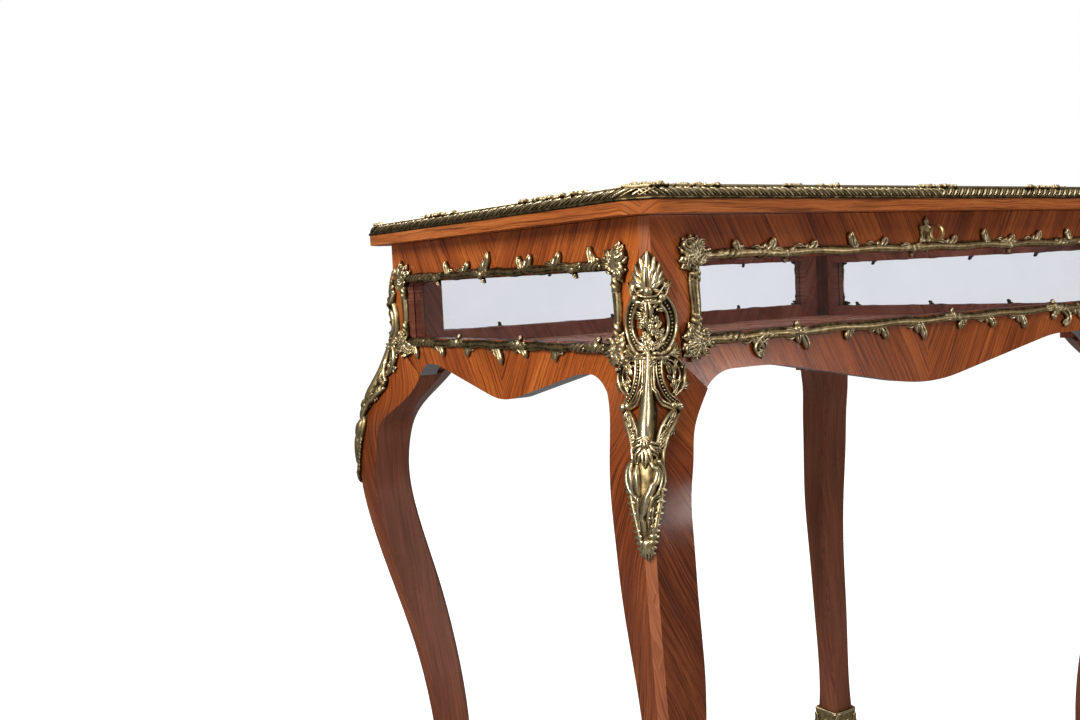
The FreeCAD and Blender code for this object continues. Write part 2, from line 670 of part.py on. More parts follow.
def window_frame(face, kind):
    """The rails, posts, corner bosses and twigs of a window frame, before pins are set."""
    reach = f"({HALF[kind]} - {kind}_jamb)"
    post = f"{kind}_frame_post"
    top = f"(case_top - {kind}_window_drop + frame_rod)"
    bottom = f"(case_top - {kind}_window_drop - {kind}_window_height - frame_rod)"
    parts = []
    for name, level in (("top", top), ("bottom", bottom)):
        parts.append(rod(f"{face}_rail_{name}", AXES["x"],
                         (f"-{reach} - {post}", "-frame_stand", level), "frame_rod",
                         f"2 * ({reach} + {post})"))
        for number, (share, rise) in enumerate(SPRIGS[kind][name]):
            low = level if name == "top" else f"{level} - {rise}"
            parts.append(rod(f"{face}_{name}_sprig_{number}", AXES["z"],
                             (f"{share} * {reach}", "-sprig_sink", low), "sprig", str(rise)))
    for name, sign in (("left", "-"), ("right", "")):
        spot = f"{sign}({reach} + {post})"
        parts.append(rod(f"{face}_post_{name}", AXES["z"], (spot, "-frame_stand", bottom), post,
                         f"{top} - {bottom}"))
        parts += [ball(f"{face}_boss_{name}_{end}", (spot, "boss_sink", level), "boss_radius")
                  for end, level in (("top", top), ("bottom", bottom))]
    return joined(f"{face}_frame_blank", parts)


def make_side(face, holes, posts):
    """One side of the case with its pane, bead and brass window frame between two legs."""
    kind = FACES[face][0]
    pins, pin_holes = window_pins(face, kind)
    board = extruded(f"{face}_board", lambda sketch: draw_apron(sketch, kind), "xz", "0",
                     "wall")
    end = f"({HALF[kind]} - {kind}_post)"
    tenon = box(f"{face}_tenon", (end, TENON_IN, TENON_LOW),
                (f"{end} + tenon_length", TENON_OUT, TENON_HIGH))
    blank = joined(f"{face}_frieze_blank",
                   [board, tenon, mirrored(f"{face}_tenon_left", tenon, (1, 0, 0))])
    frieze = stand(cut(f"{face}_frieze_open", blank,
                       [window(kind, "0", "-wall", "2 * wall", f"{face}_opening"),
                        window(kind, "rebate", "lip", "2 * wall", f"{face}_rebate"),
                        *pin_holes]), face)
    if holes:
        frieze = cut(f"{face}_frieze_fitted", frieze, holes)
    frieze.Label = f"frieze_{face}"
    keep(frieze)
    keep(stand(grouped(f"glass_{face}", [
        window(kind, "rebate - pane_play", "lip", "lip + glass", f"{face}_pane")]), face))
    keep(stand(cut(f"glazing_bead_{face}",
                   window(kind, "rebate", "lip + glass", "wall", f"{face}_bead_block"),
                   [window(kind, "0", "0", "2 * wall", f"{face}_bead_opening")]), face))
    behind = box(f"{face}_frame_back", (f"-{HALF[kind]}", "0", "0"),
                 (HALF[kind], "3 * wall", "2 * case_top"))
    brass = stand(cut(f"{face}_frame_flat", window_frame(face, kind), [behind, *pin_holes]), face)
    keep(cut(f"window_frame_{face}", brass, posts))
    return stand(grouped(f"{face}_pins", pins), face)


def make_floor():
    """The display floor, its lining, the battens under it and the glue blocks in the corners."""
    half_x = "case_width / 2 - wall"
    half_y = "case_depth / 2 - wall"
    keep(box("case_floor", (f"-({half_x})", f"-({half_y})", FLOOR_UNDERSIDE),
             (half_x, half_y, FLOOR_TOP)))
    keep(box("floor_lining", (f"lining_play - ({half_x})", f"lining_play - ({half_y})", FLOOR_TOP),
             (f"{half_x} - lining_play", f"{half_y} - lining_play", f"{FLOOR_TOP} + lining")))
    front = box("batten_front", ("-front_batten / 2", f"-({half_y})", SHELF),
                ("front_batten / 2", f"batten - ({half_y})", FLOOR_UNDERSIDE))
    left = box("batten_left", (f"-({half_x})", "-side_batten / 2", SHELF),
               (f"batten - ({half_x})", "side_batten / 2", FLOOR_UNDERSIDE))
    keep(grouped("floor_battens", [front, mirrored("batten_back", front, (0, 1, 0)),
                                   left, mirrored("batten_right", left, (1, 0, 0))]))
    block = box("corner_block", (f"-({half_x})", f"-({half_y})", SHELF),
                (f"block_front - ({half_x})", f"block_side - ({half_y})", FLOOR_UNDERSIDE))
    right = mirrored("corner_block_right", block, (1, 0, 0))
    keep(grouped("corner_blocks", [block, right, mirrored("corner_block_back", block, (0, 1, 0)),
                                   mirrored("corner_block_far", right, (0, 1, 0))]))


# ---------------------------------------------------------------- lid
def lid_hole(label, margin, low, high):
    """A block through the lid's opening, widened by a margin."""
    half_x = f"({LID_HALF_WIDTH} - lid_rail + ({margin}))"
    half_y = f"({LID_HALF_DEPTH} - lid_rail + ({margin}))"
    return box(label, (f"-{half_x}", f"-{half_y}", low), (half_x, half_y, high))


def mitre(label, face):
    """The wedge of the lid that belongs to one of its four sides, cut at 45 degrees."""
    far_x = f"({LID_HALF_WIDTH} + wall)"
    far_y = f"({LID_HALF_DEPTH} + wall)"
    ridge = f"({far_x} - {far_y})"
    outlines = {
        "front": [(f"-{far_x}", f"-{far_y}"), (far_x, f"-{far_y}"), (ridge, "0"),
                  (f"-{ridge}", "0")],
        "back": [(f"-{ridge}", "0"), (ridge, "0"), (far_x, far_y), (f"-{far_x}", far_y)],
        "left": [(f"-{far_x}", f"-{far_y}"), (f"-{ridge}", "0"), (f"-{far_x}", far_y)],
        "right": [(far_x, f"-{far_y}"), (far_x, far_y), (ridge, "0")],
    }
    return extruded(label, outlines[face], "xy", "case_top - wall", "lid_thickness + 3 * wall")


def lid_seats():
    """Pockets in the lid's back rail for the hinges, and in its front rail for the link."""
    seats = [link_block("link_seat")]
    for side, centre in HINGE_CENTRES.items():
        low = f"{centre} - {HINGE_LENGTH} / 2 - knuckle_gap"
        high = f"{centre} + {HINGE_LENGTH} / 2 + knuckle_gap"
        seats += [
            box(f"lid_leaf_seat_{side}", (low, "case_depth / 2 - hinge_reach", "case_top"),
                (high, PIVOT_Y, f"{LID_UNDERSIDE} + hinge_leaf")),
            box(f"barrel_groove_{side}", (low, f"{PIVOT_Y} - barrel - barrel_play", "case_top"),
                (high, f"{PIVOT_Y} + barrel + barrel_play",
                 f"{PIVOT_Z} + barrel + barrel_play"))]
    return seats


def make_lid(holes):
    """The lid: four mitred rails, the brass border, the pane and its brass frame."""
    slab = canted_slab("lid_slab", LID_HALF_WIDTH, LID_HALF_DEPTH, LID_UNDERSIDE,
                       "lid_thickness", "lid_cant", "lid_bend", "lid_bevel")
    frame = cut("lid_blank", slab, [
        lid_hole("lid_opening", "0", "case_top - wall", f"{LID_TOP} + wall"),
        lid_hole("lid_rebate_block", "lid_rebate", f"{LID_TOP} - lid_rebate_depth",
                 f"{LID_TOP} + wall")])
    edge = f"{LID_UNDERSIDE} + lid_edge"
    rise = "lid_thickness - lid_edge + border_rise"
    seat = "(lid_bevel + border_seat)"
    moulding = canted_slab("border_slab", f"{LID_HALF_WIDTH} + border_proud",
                           f"{LID_HALF_DEPTH} + border_proud", edge, rise,
                           "lid_cant + (2 - sqrt(2)) * border_proud",
                           "lid_bend + border_proud", "border_bevel")
    core = canted_slab("border_core", f"{LID_HALF_WIDTH} - {seat}", f"{LID_HALF_DEPTH} - {seat}",
                       f"{edge} - wall", "3 * wall", f"lid_cant - (2 - sqrt(2)) * {seat}",
                       "border_bend")
    border = cut("border_blank", moulding, [slab, core])
    pins, pin_holes = lid_pins()
    fitted = cut("lid_fitted", frame, lid_seats() + holes + pin_holes)
    for face in FACES:
        keep(shared(f"lid_rail_{face}", fitted, mitre(f"mitre_{face}", face)))
        keep(shared(f"lid_border_{face}", border, mitre(f"border_mitre_{face}", face)))

    pane_low = f"{LID_TOP} - lid_rebate_depth"
    pane_high = f"{pane_low} + lid_glass"
    keep(lid_hole("lid_glass", "lid_rebate - pane_play", pane_low, pane_high))
    half_x = f"({LID_HALF_WIDTH} - lid_rail + lid_rebate)"
    half_y = f"({LID_HALF_DEPTH} - lid_rail + lid_rebate)"
    level = f"{LID_TOP} + lid_frame_stand"
    rods = []
    for name, sign in (("near", "-"), ("far", "")):
        rods.append(rod(f"lid_bar_x_{name}", AXES["x"], (f"-{half_x}", f"{sign}{half_y}", level),
                        "lid_frame_rod", f"2 * {half_x}"))
        rods.append(rod(f"lid_bar_y_{name}", AXES["y"], (f"{sign}{half_x}", f"-{half_y}", level),
                        "lid_frame_rod", f"2 * {half_y}"))
    bosses = [ball(f"lid_boss_{number}", (x, y, f"{LID_TOP} - lid_boss_sink"), "lid_boss_radius")
              for number, (x, y) in enumerate([(f"{a}{half_x}", f"{b}{half_y}")
                                               for a in ("-", "") for b in ("-", "")])]
    below = box("lid_frame_under", ("-case_width", "-case_width", "0"),
                ("case_width", "case_width", LID_TOP))
    crest = cut("lid_frame_crest", joined("lid_frame_blank", rods + bosses), [below])
    lip = cut("lid_frame_lip", lid_hole("lid_lip_block", "lid_rebate - pane_play", pane_high,
                                        LID_TOP),
              [lid_hole("lid_lip_opening", "0", "0", "2 * case_top")])
    keep(cut("lid_glass_frame", joined("lid_frame_whole", [crest, lip]), pin_holes))
    keep(grouped("lid_frame_pins", pins))


def lid_pins():
    """Brass pins that hold the lid's pane frame to the rails."""
    half_x = f"({LID_HALF_WIDTH} - lid_rail + lid_rebate + lid_frame_rod / 2)"
    half_y = f"({LID_HALF_DEPTH} - lid_rail + lid_rebate + lid_frame_rod / 2)"
    crown = f"{LID_TOP} + lid_frame_stand + lid_frame_rod"
    spots = [(f"{a}{half_x} / 2", f"{b}{half_y}", crown) for a in ("-", "") for b in ("-", "")]
    spots += [(f"{a}{half_x}", "0", crown) for a in ("-", "")]
    return fasten("lid_pin", DOWN, ("0", "0", "-1"), spots, LID_PIN)


# ---------------------------------------------------------------- hinges
def make_hinges(fixings):
    """Two butt hinges: leaves let into case and lid, knuckles on one pin behind the case."""
    case_leaves, lid_leaves, pins = [], [], []
    reach_y = "case_depth / 2 - hinge_reach"
    for side, centre in HINGE_CENTRES.items():
        start = f"({centre} - {HINGE_LENGTH} / 2)"
        end = f"({centre} + {HINGE_LENGTH} / 2)"

        def along(name, first, last, radius):
            return rod(f"{name}_{side}", AXES["x"], (first, PIVOT_Y, PIVOT_Z), radius,
                       f"({last}) - ({first})")

        def clearing(name, numbers):
            return [along(f"{name}_{number}", f"{start} + {number} * knuckle - knuckle_gap / 2",
                          f"{start} + {number + 1} * knuckle + knuckle_gap / 2",
                          "barrel + barrel_play") for number in numbers]

        case_plate = box(f"case_leaf_plate_{side}", (start, reach_y, "case_top - hinge_leaf"),
                         (end, PIVOT_Y, "case_top"))
        lid_plate = box(f"lid_leaf_plate_{side}", (start, reach_y, LID_UNDERSIDE),
                        (end, PIVOT_Y, f"{LID_UNDERSIDE} + hinge_leaf"))
        case_leaves.append(cut(f"case_leaf_{side}", joined(f"case_leaf_blank_{side}", [
            case_plate, along("case_barrel", start, end, "barrel")]), [
                *clearing("lid_knuckle_room", (1, 3)),
                along("case_bore", start, end, "hinge_pin + pin_fit"),
                *fixings[f"case_{side}"][1]]))
        lid_leaves.append(cut(f"lid_leaf_{side}", joined(f"lid_leaf_blank_{side}", [
            lid_plate, along("lid_barrel", start, end, "barrel")]), [
                *clearing("case_knuckle_room", (0, 2, 4)),
                along("lid_bore", start, end, "hinge_pin + pin_play"),
                *fixings[f"lid_{side}"][1]]))
        pins.append(along("hinge_pin", start, end, "hinge_pin"))
    keep(grouped("hinge_case_leaves", case_leaves))
    keep(grouped("hinge_lid_leaves", lid_leaves))
    keep(grouped("hinge_pins", pins))
    for part in ("case", "lid"):
        keep(grouped(f"hinge_{part}_screws",
                     fixings[f"{part}_left"][0] + fixings[f"{part}_right"][0]))


def leaf_screws():
    """Three screws in each hinge leaf: down into the case, up into the lid."""
    sets = {}
    for side, centre in HINGE_CENTRES.items():
        for part, turn, way, level in (("case", DOWN, "-1", "case_top"),
                                       ("lid", AXES["z"], "1", LID_UNDERSIDE)):
            spots = [(f"{centre} + {step} * leaf_screw_pitch",
                      "case_depth / 2 - leaf_screw_reach", level) for step in (-1, 0, 1)]
            sets[f"{part}_{side}"] = fasten(f"{part}_{side}_screw", turn, ("0", "0", way),
                                            spots, LEAF_SCREW)
    return sets


# ---------------------------------------------------------------- lock
def link_block(label):
    """The link plate under the front rail, or its seat."""
    return box(label, ("-lock_width / 2", f"{LOCK_Y} - link_plate_depth / 2", LID_UNDERSIDE),
               ("lock_width / 2", f"{LOCK_Y} + link_plate_depth / 2",
                f"{LID_UNDERSIDE} + link_plate"))


def link_loop(label, sign, play):
    """One loop of the link plate as a block, widened by a play."""
    centre = f"({sign}link_spread / 2)"
    return box(label, (f"{centre} - link_thickness / 2 - {play}",
                       f"{LOCK_Y} - link_width / 2 - {play}",
                       f"{LID_UNDERSIDE} - link_depth - {play}"),
               (f"{centre} + link_thickness / 2 + {play}",
                f"{LOCK_Y} + link_width / 2 + {play}", LID_UNDERSIDE))


def make_link(screws, holes):
    """The link plate on the lid, whose two loops drop into the lock."""
    low = f"{LID_UNDERSIDE} - link_depth + link_wall"
    loops = []
    for name, sign in (("left", "-"), ("right", "")):
        centre = f"({sign}link_spread / 2)"
        eye = box(f"link_eye_{name}",
                  (f"{centre} - link_thickness", f"{LOCK_Y} - link_hole_width / 2", low),
                  (f"{centre} + link_thickness", f"{LOCK_Y} + link_hole_width / 2",
                   f"{low} + link_hole_height"))
        loops.append(cut(f"loop_{name}", link_loop(f"loop_block_{name}", sign, "0"), [eye]))
    keep(cut("link_plate", joined("link_plate_blank", [link_block("link_base"), *loops]),
             holes))
    keep(grouped("link_plate_screws", screws))


def make_lock(screws, holes):
    """The lock in the front's top rail: an open-topped box with slots for the loops."""
    low = "(case_top - lock_height)"
    half = "(lock_width / 2)"
    plate = "(lock_width / 2 + selvage)"
    shell = joined("lock_shell", [
        box("lock_block", (f"-{half}", LOCK_FRONT, low), (half, BOARD_Y, "case_top")),
        box("lock_selvage", (f"-{plate}", LOCK_FRONT, "case_top - lock_wall"),
            (plate, BOARD_Y, "case_top"))])
    inner = f"({half} - lock_wall)"
    near = f"{LOCK_FRONT} + lock_wall"
    far = f"{BOARD_Y} - lock_wall"
    floor = f"{low} + lock_wall"
    room = box("lock_room", (f"-{inner}", near, floor), (inner, far, "case_top - lock_wall"))
    slots = [link_loop(f"link_slot_{name}", sign, "link_play")
             for name, sign in (("left", "-"), ("right", ""))]
    hollow = cut("lock_hollow", shell,
                 [room, *slots, *key_slot("lock_key", "key_fit", "key_play",
                                          f"{LOCK_FRONT} - wall", LOCK_Y)])
    ledges = [box(f"lock_ledge_{name}", (first, near, floor),
                  (last, far, "case_top - bolt_drop - bolt_play"))
              for name, first, last in (("left", f"-{inner}", f"ledge - {inner}"),
                                        ("right", f"{inner} - ledge", inner))]
    keep(cut("lock_case", joined("lock_body", [hollow, *ledges]), holes))
    keep(grouped("lock_screws", screws))


def make_bolt():
    """The sliding bolt: a bar with two arms whose tongues enter the loops."""
    near = f"{LOCK_Y} - bolt_thickness / 2"
    far = f"{LOCK_Y} + bolt_thickness / 2"
    bar_low = "(case_top - bolt_drop)"
    low = f"({LID_UNDERSIDE} - link_depth + link_wall + link_hole_height / 2 - bolt_bar / 2)"
    back = "(link_thickness / 2 + bolt_play + bolt_throw + bolt_arm)"
    guide = "(lock_depth / 2 - lock_wall - bolt_play)"
    parts = [box("bolt_bar_block", (f"-link_spread / 2 - {back}", f"{LOCK_Y} - {guide}", bar_low),
                 ("link_spread / 2 + bolt_tail - bolt_throw", f"{LOCK_Y} + {guide}",
                  f"{bar_low} + bolt_bar"))]
    for name, sign in (("left", "-"), ("right", "")):
        centre = f"({sign}link_spread / 2)"
        start = f"{centre} - {back}"
        parts.append(box(f"bolt_arm_{name}", (start, near, bar_low),
                         (f"{start} + bolt_arm", far, f"{low} + bolt_bar")))
        parts.append(box(f"bolt_tongue_{name}", (start, near, low),
                         (f"{centre} - link_thickness / 2 - 2 * bolt_play", far,
                          f"{low} + bolt_bar")))
    keep(joined("lock_bolt", parts))


def make_key():
    """The key: a round stem, a bit that points down and a ring to turn it by."""
    tip = f"({LOCK_Y} + bolt_thickness)"
    start = f"({tip} - key_stem)"
    bow = doc.addObject("Part::Torus", "key_bow")
    bow.setExpression("Radius1", bound("bow_radius"))
    bow.setExpression("Radius2", bound("bow_wire"))
    place(bow, ("0", f"{start} - bow_radius", KEY_LEVEL), AXES["x"])
    stem = rod("key_stem_rod", AXES["y"], ("0", start, KEY_LEVEL), "key_shank", "key_stem")
    bit = box("key_bit_block", ("-key_bit_width / 2", f"{tip} - key_bit_length",
                                f"{KEY_LEVEL} - key_bit"),
              ("key_bit_width / 2", tip, KEY_LEVEL))
    keep(joined("key", [stem, bit, bow]))


def make_scutcheon(pins, holes):
    """The brass plate round the keyhole."""
    half = "scutcheon_width / 2"
    plate = box("scutcheon_plate",
                (f"-{half}", f"{FACE_Y} - scutcheon_thickness",
                 f"{KEY_LEVEL} - scutcheon_height / 2"),
                (half, FACE_Y, f"{KEY_LEVEL} + scutcheon_height / 2"))
    keep(cut("keyhole_scutcheon", plate,
             [*key_slot("scutcheon_key", "key_play", "key_play", f"{FACE_Y} - wall", BOARD_Y),
              *holes]))
    keep(grouped("scutcheon_pins", pins))


# ---------------------------------------------------------------- the whole table
def build():
    """Make every piece."""
    fixings = leaf_screws()
    away = "(lock_width / 2 + selvage / 2)"
    lock_screws = fasten("lock_screw", DOWN, ("0", "0", "-1"),
                         [(f"{sign}{away}", LOCK_Y, "case_top") for sign in ("-", "")],
                         WOOD_SCREW)
    link_screws = fasten("link_screw", AXES["z"], ("0", "0", "1"),
                         [(f"{sign}(lock_width / 2 - link_screw_inset)", LOCK_Y, LID_UNDERSIDE)
                          for sign in ("-", "")], WOOD_SCREW)
    plate_pins = fasten("scutcheon_pin", AXES["y"], ("0", "1", "0"),
                        [(f"{sign}(scutcheon_width / 2 - 1.1 * pin_head)",
                          f"{FACE_Y} - scutcheon_thickness", KEY_LEVEL) for sign in ("-", "")],
                        BRASS_PIN)
    case_holes = fixings["case_left"][1] + fixings["case_right"][1]
    fitted = {"front": lock_seat() + lock_screws[1] + plate_pins[1],
              "back": hinge_seats() + case_holes, "left": [], "right": []}
    blanks = make_corners()
    keep(grouped("frame_pins", [make_side(face, fitted[face], [
        blank for corner, blank in blanks.items() if face in corner]) for face in FACES]))
    make_floor()
    make_lid(fixings["lid_left"][1] + fixings["lid_right"][1] + link_screws[1])
    make_hinges(fixings)
    make_lock(*lock_screws)
    make_bolt()
    make_key()
    make_scutcheon(*plate_pins)
    make_link(*link_screws)


def check_and_write():
    """Stop on any object in error, then write one file for each piece."""
    doc.recompute()
    broken = [item.Label for item in doc.Objects
              if {"Invalid", "Error"} & set(item.State)]
    broken += [item.Label for item in subparts
               if item.Shape.isNull() or not item.Shape.isValid()]
    if broken:
        raise RuntimeError("not sound: " + ", ".join(broken))
    os.makedirs("parts", exist_ok=True)
    for item in subparts:
        item.Shape.exportStep(f"parts/{item.Label}.step")


store_all()
build()
check_and_write()
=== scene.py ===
"""Looks of the glazed display table: veneers, glass and chased gilt brass.

Metres, +Z up, the long front faces -Y.  A pattern on a mount is laid out in millimetres:
s runs along the surface, z is the height above the floor, lift is how proud it stands.
"""
import bpy
import bmesh
import math
import numpy as np
from mathutils import Matrix, Vector
from mathutils.bvhtree import BVHTree


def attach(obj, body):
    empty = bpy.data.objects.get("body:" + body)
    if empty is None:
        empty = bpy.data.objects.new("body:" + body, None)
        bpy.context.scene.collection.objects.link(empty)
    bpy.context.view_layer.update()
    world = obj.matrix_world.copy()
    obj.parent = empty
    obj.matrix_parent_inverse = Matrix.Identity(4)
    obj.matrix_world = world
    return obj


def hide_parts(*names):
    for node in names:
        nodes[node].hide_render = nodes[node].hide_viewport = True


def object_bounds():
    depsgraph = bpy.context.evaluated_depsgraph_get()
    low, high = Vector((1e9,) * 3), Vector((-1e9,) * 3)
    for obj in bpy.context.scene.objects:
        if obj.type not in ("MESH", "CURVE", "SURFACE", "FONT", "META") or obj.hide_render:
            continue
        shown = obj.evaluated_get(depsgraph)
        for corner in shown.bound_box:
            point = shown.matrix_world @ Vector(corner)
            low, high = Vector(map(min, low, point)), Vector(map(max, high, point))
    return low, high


# The table's own sizes, in millimetres.
MM = 0.001
HALF_X, HALF_Y = 350.0, 230.0          # the case
LID_X, LID_Y, LID_CANT = 373.0, 253.0, 21.0    # the lid's wood and its canted corners
LID_TOP = 767.4
FRAME_X, FRAME_Y = 313.0, 193.0        # outer edge of the brass frame round the lid's pane
FRAME_IN_X, FRAME_IN_Y = 305.0, 185.0  # its inner edge
FRAME_BOTTOM, FRAME_FLAT = 763.6, 769.2    # its underside and its flat top
LEAF_Z = 765.8                         # the path of the leaves round the lid
CREST_Z = 769.4                        # the foot of the foliage on top of them
LEAF_INSET = 2.4                       # from the edge of the lid's wood to that path
KEYHOLE_Z = 727.0
SHOE_TOP = 50.0
CORNERS = {"front_left": (-1, -1), "front_right": (1, -1),
           "back_left": (-1, 1), "back_right": (1, 1)}
# For each face: the way along it, the way out of it and how far out it is.
FACES = {"front": ((1, 0), (0, -1), HALF_Y), "back": ((-1, 0), (0, 1), HALF_Y),
         "left": ((0, -1), (-1, 0), HALF_X), "right": ((0, 1), (1, 0), HALF_X)}

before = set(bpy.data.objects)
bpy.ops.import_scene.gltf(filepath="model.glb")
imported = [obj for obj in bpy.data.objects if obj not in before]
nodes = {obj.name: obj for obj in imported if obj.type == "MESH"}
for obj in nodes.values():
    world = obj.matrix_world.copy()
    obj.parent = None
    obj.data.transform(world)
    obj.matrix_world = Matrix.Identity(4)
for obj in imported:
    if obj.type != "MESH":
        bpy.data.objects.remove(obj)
cad_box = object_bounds()


# ------------------------------------------------------------------ shader building
class Nodes:
    """Short names for building one node tree."""

    def __init__(self, tree):
        self.tree = tree

    def add(self, kind, **settings):
        node = self.tree.nodes.new(kind)
        for name, setting in settings.items():
            setattr(node, name, setting)
        return node

    def feed(self, socket, source):
        if isinstance(source, bpy.types.NodeSocket):
            self.tree.links.new(source, socket)
        else:
            socket.default_value = source

    def math(self, operation, first, second=0.0):
        node = self.add("ShaderNodeMath", operation=operation)
        self.feed(node.inputs[0], first)
        self.feed(node.inputs[1], second)
        return node.outputs[0]

    def plus(self, first, second):
        return self.math("ADD", first, second)

    def minus(self, first, second):
        return self.math("SUBTRACT", first, second)

    def times(self, first, second):
        return self.math("MULTIPLY", first, second)

    def above(self, first, second):
        return self.math("GREATER_THAN", first, second)

    def either(self, share, first, second):
        """The first number where the share is 1 and the second where it is 0."""
        return self.plus(self.times(first, share), self.times(second, self.minus(1.0, share)))

    def place(self):
        return self.add("ShaderNodeTexCoord").outputs["Object"]

    def split(self, vector):
        node = self.add("ShaderNodeSeparateXYZ")
        self.feed(node.inputs[0], vector)
        return node.outputs

    def merge(self, x, y, z):
        node = self.add("ShaderNodeCombineXYZ")
        for socket, source in zip(node.inputs, (x, y, z)):
            self.feed(socket, source)
        return node.outputs[0]

    def noise(self, vector, scale, detail, rough=0.55):
        node = self.add("ShaderNodeTexNoise")
        for name, source in (("Vector", vector), ("Scale", scale), ("Detail", detail),
                             ("Roughness", rough)):
            self.feed(node.inputs[name], source)
        return node.outputs[0]

    def ramp(self, source, *stops):
        """A colour ramp through (place, colour or grey)."""
        node = self.add("ShaderNodeValToRGB")
        self.feed(node.inputs[0], source)
        bar = node.color_ramp
        while len(bar.elements) < len(stops):
            bar.elements.new(0.5)
        for element, (place, tone) in zip(bar.elements, stops):
            element.position = place
            element.color = (*tone, 1) if isinstance(tone, tuple) else (tone, tone, tone, 1)
        return node.outputs[0]

    def blend(self, amount, first, second):
        """The first colour, going over to the second as the amount grows to 1."""
        node = self.add("ShaderNodeMix", data_type="RGBA")
        self.feed(node.inputs["Factor"], amount)
        for socket, source in ((node.inputs[6], first), (node.inputs[7], second)):
            self.feed(socket, (*source, 1) if isinstance(source, tuple) else source)
        return node.outputs[2]

    def bump(self, height, strength, distance):
        node = self.add("ShaderNodeBump")
        self.feed(node.inputs["Height"], height)
        node.inputs["Strength"].default_value = strength
        node.inputs["Distance"].default_value = distance
        return node.outputs[0]


def finish(name, **constants):
    """A new material with its plain numbers set on the shader's own sockets."""
    material = bpy.data.materials.new(name)
    material.use_nodes = True
    shader = material.node_tree.nodes["Principled BSDF"]
    for socket, constant in constants.items():
        shader.inputs[socket.replace("_", " ")].default_value = constant
    return material, Nodes(material.node_tree), shader


def shader_group(name, inputs, outputs, fill):
    """A node group: inputs give their kind of socket, outputs are masks made by fill()."""
    group = bpy.data.node_groups.new(name, "ShaderNodeTree")
    for label, kind in inputs.items():
        group.interface.new_socket(label, in_out="INPUT", socket_type=kind)
    for label in outputs:
        group.interface.new_socket(label, in_out="OUTPUT", socket_type="NodeSocketFloat")
    tree = Nodes(group)
    masks = fill(tree, tree.add("NodeGroupInput").outputs)
    ways_out = tree.add("NodeGroupOutput").inputs
    for label, mask in zip(outputs, masks):
        tree.feed(ways_out[label], mask)
    return group


def use(tree, group, **sources):
    """Place a node group in a material with its own values."""
    node = tree.add("ShaderNodeGroup", node_tree=group)
    for label, source in sources.items():
        tree.feed(node.inputs[label], source)
    return node.outputs


def fill_grain(tree, given):
    """Veneer figure: x along the grain and y across it, in metres."""
    x, y, z = tree.split(given["Along"])
    waver = tree.minus(tree.noise(given["Along"], 9.0, 2.0), 0.5)
    across = tree.plus(y, tree.times(waver, 0.012))

    def lines(stretch, scale, detail, rough=0.6):
        """Noise drawn out along the grain: the smaller the stretch, the longer the lines."""
        return tree.noise(tree.merge(tree.times(x, stretch), across, z), scale, detail, rough)

    broad = lines(0.10, 26.0, 2.0)
    stripes = lines(0.03, 260.0, 3.0)
    fine = lines(0.018, 820.0, 3.0)
    threads = lines(0.012, 520.0, 3.0, 0.7)
    pores = tree.ramp(lines(0.04, 1700.0, 1.0), (0.60, 0.0), (0.70, 1.0))
    streaks = tree.ramp(threads, (0.52, 0.0), (0.60, 1.0))
    tone = tree.plus(tree.times(broad, 0.36),
                     tree.plus(tree.times(stripes, 0.24), tree.times(fine, 0.40)))
    return tone, streaks, pores, fine


def fill_wear(tree, given):
    """Soft smears and dust: a mask that varies over the surface."""
    smears = tree.noise(given["Place"], given["Scale"], 4.0, 0.6)
    return [tree.ramp(smears, (0.35, 0.0), (0.75, 1.0))]


GRAIN = shader_group("veneer_grain", {"Along": "NodeSocketVector"},
                     ("Tone", "Streaks", "Pores", "Fine"), fill_grain)
WEAR = shader_group("polish_wear", {"Place": "NodeSocketVector", "Scale": "NodeSocketFloat"},
                    ("Smears",), fill_wear)


# ------------------------------------------------------------------ finishes
# A veneer's tones are dark, middle and light; its stops are where the grain shows each.
CASE_TONES = ((0.15, 0.027, 0.0045), (0.36, 0.078, 0.012), (0.57, 0.150, 0.026))
LEG_TONES = ((0.070, 0.012, 0.0025), (0.18, 0.036, 0.007), (0.33, 0.086, 0.020))
STRIP_TONES = ((0.22, 0.058, 0.024), (0.40, 0.125, 0.05), (0.52, 0.19, 0.085))
CORE_TONES = ((0.085, 0.026, 0.012), (0.16, 0.048, 0.022), (0.25, 0.082, 0.04))
LID_TONES = ((0.20, 0.045, 0.010), (0.42, 0.110, 0.022), (0.62, 0.20, 0.050))
INNER_TONES = ((0.15, 0.044, 0.025), (0.32, 0.102, 0.058), (0.48, 0.180, 0.108))
LINING_TONES = ((0.32, 0.11, 0.066), (0.56, 0.22, 0.140), (0.74, 0.36, 0.24))
FACE_STOPS, PLAIN_STOPS = (0.37, 0.49, 0.62), (0.38, 0.5, 0.62)
POLISH = {"IOR": 1.45, "Specular_IOR_Level": 0.32, "Coat_Weight": 0.16, "Coat_Roughness": 0.12}
CASE_LEAN = math.radians(31)           # of the grain on the friezes, from the upright
STRIP_LEAN = math.radians(4)           # of the grain on the legs' arris
# Between these heights the legs go over from their darker tones, partly their own veneer and
# partly painted shade, to the case's brighter colour.
KNEE_FROM, KNEE_TO = 0.54, 0.64        # where the legs go over to the case's colour


def figure(tree, grain, tones, stops):
    """The ground colour of a veneer."""
    return tree.ramp(grain["Tone"], *zip(stops, tones))


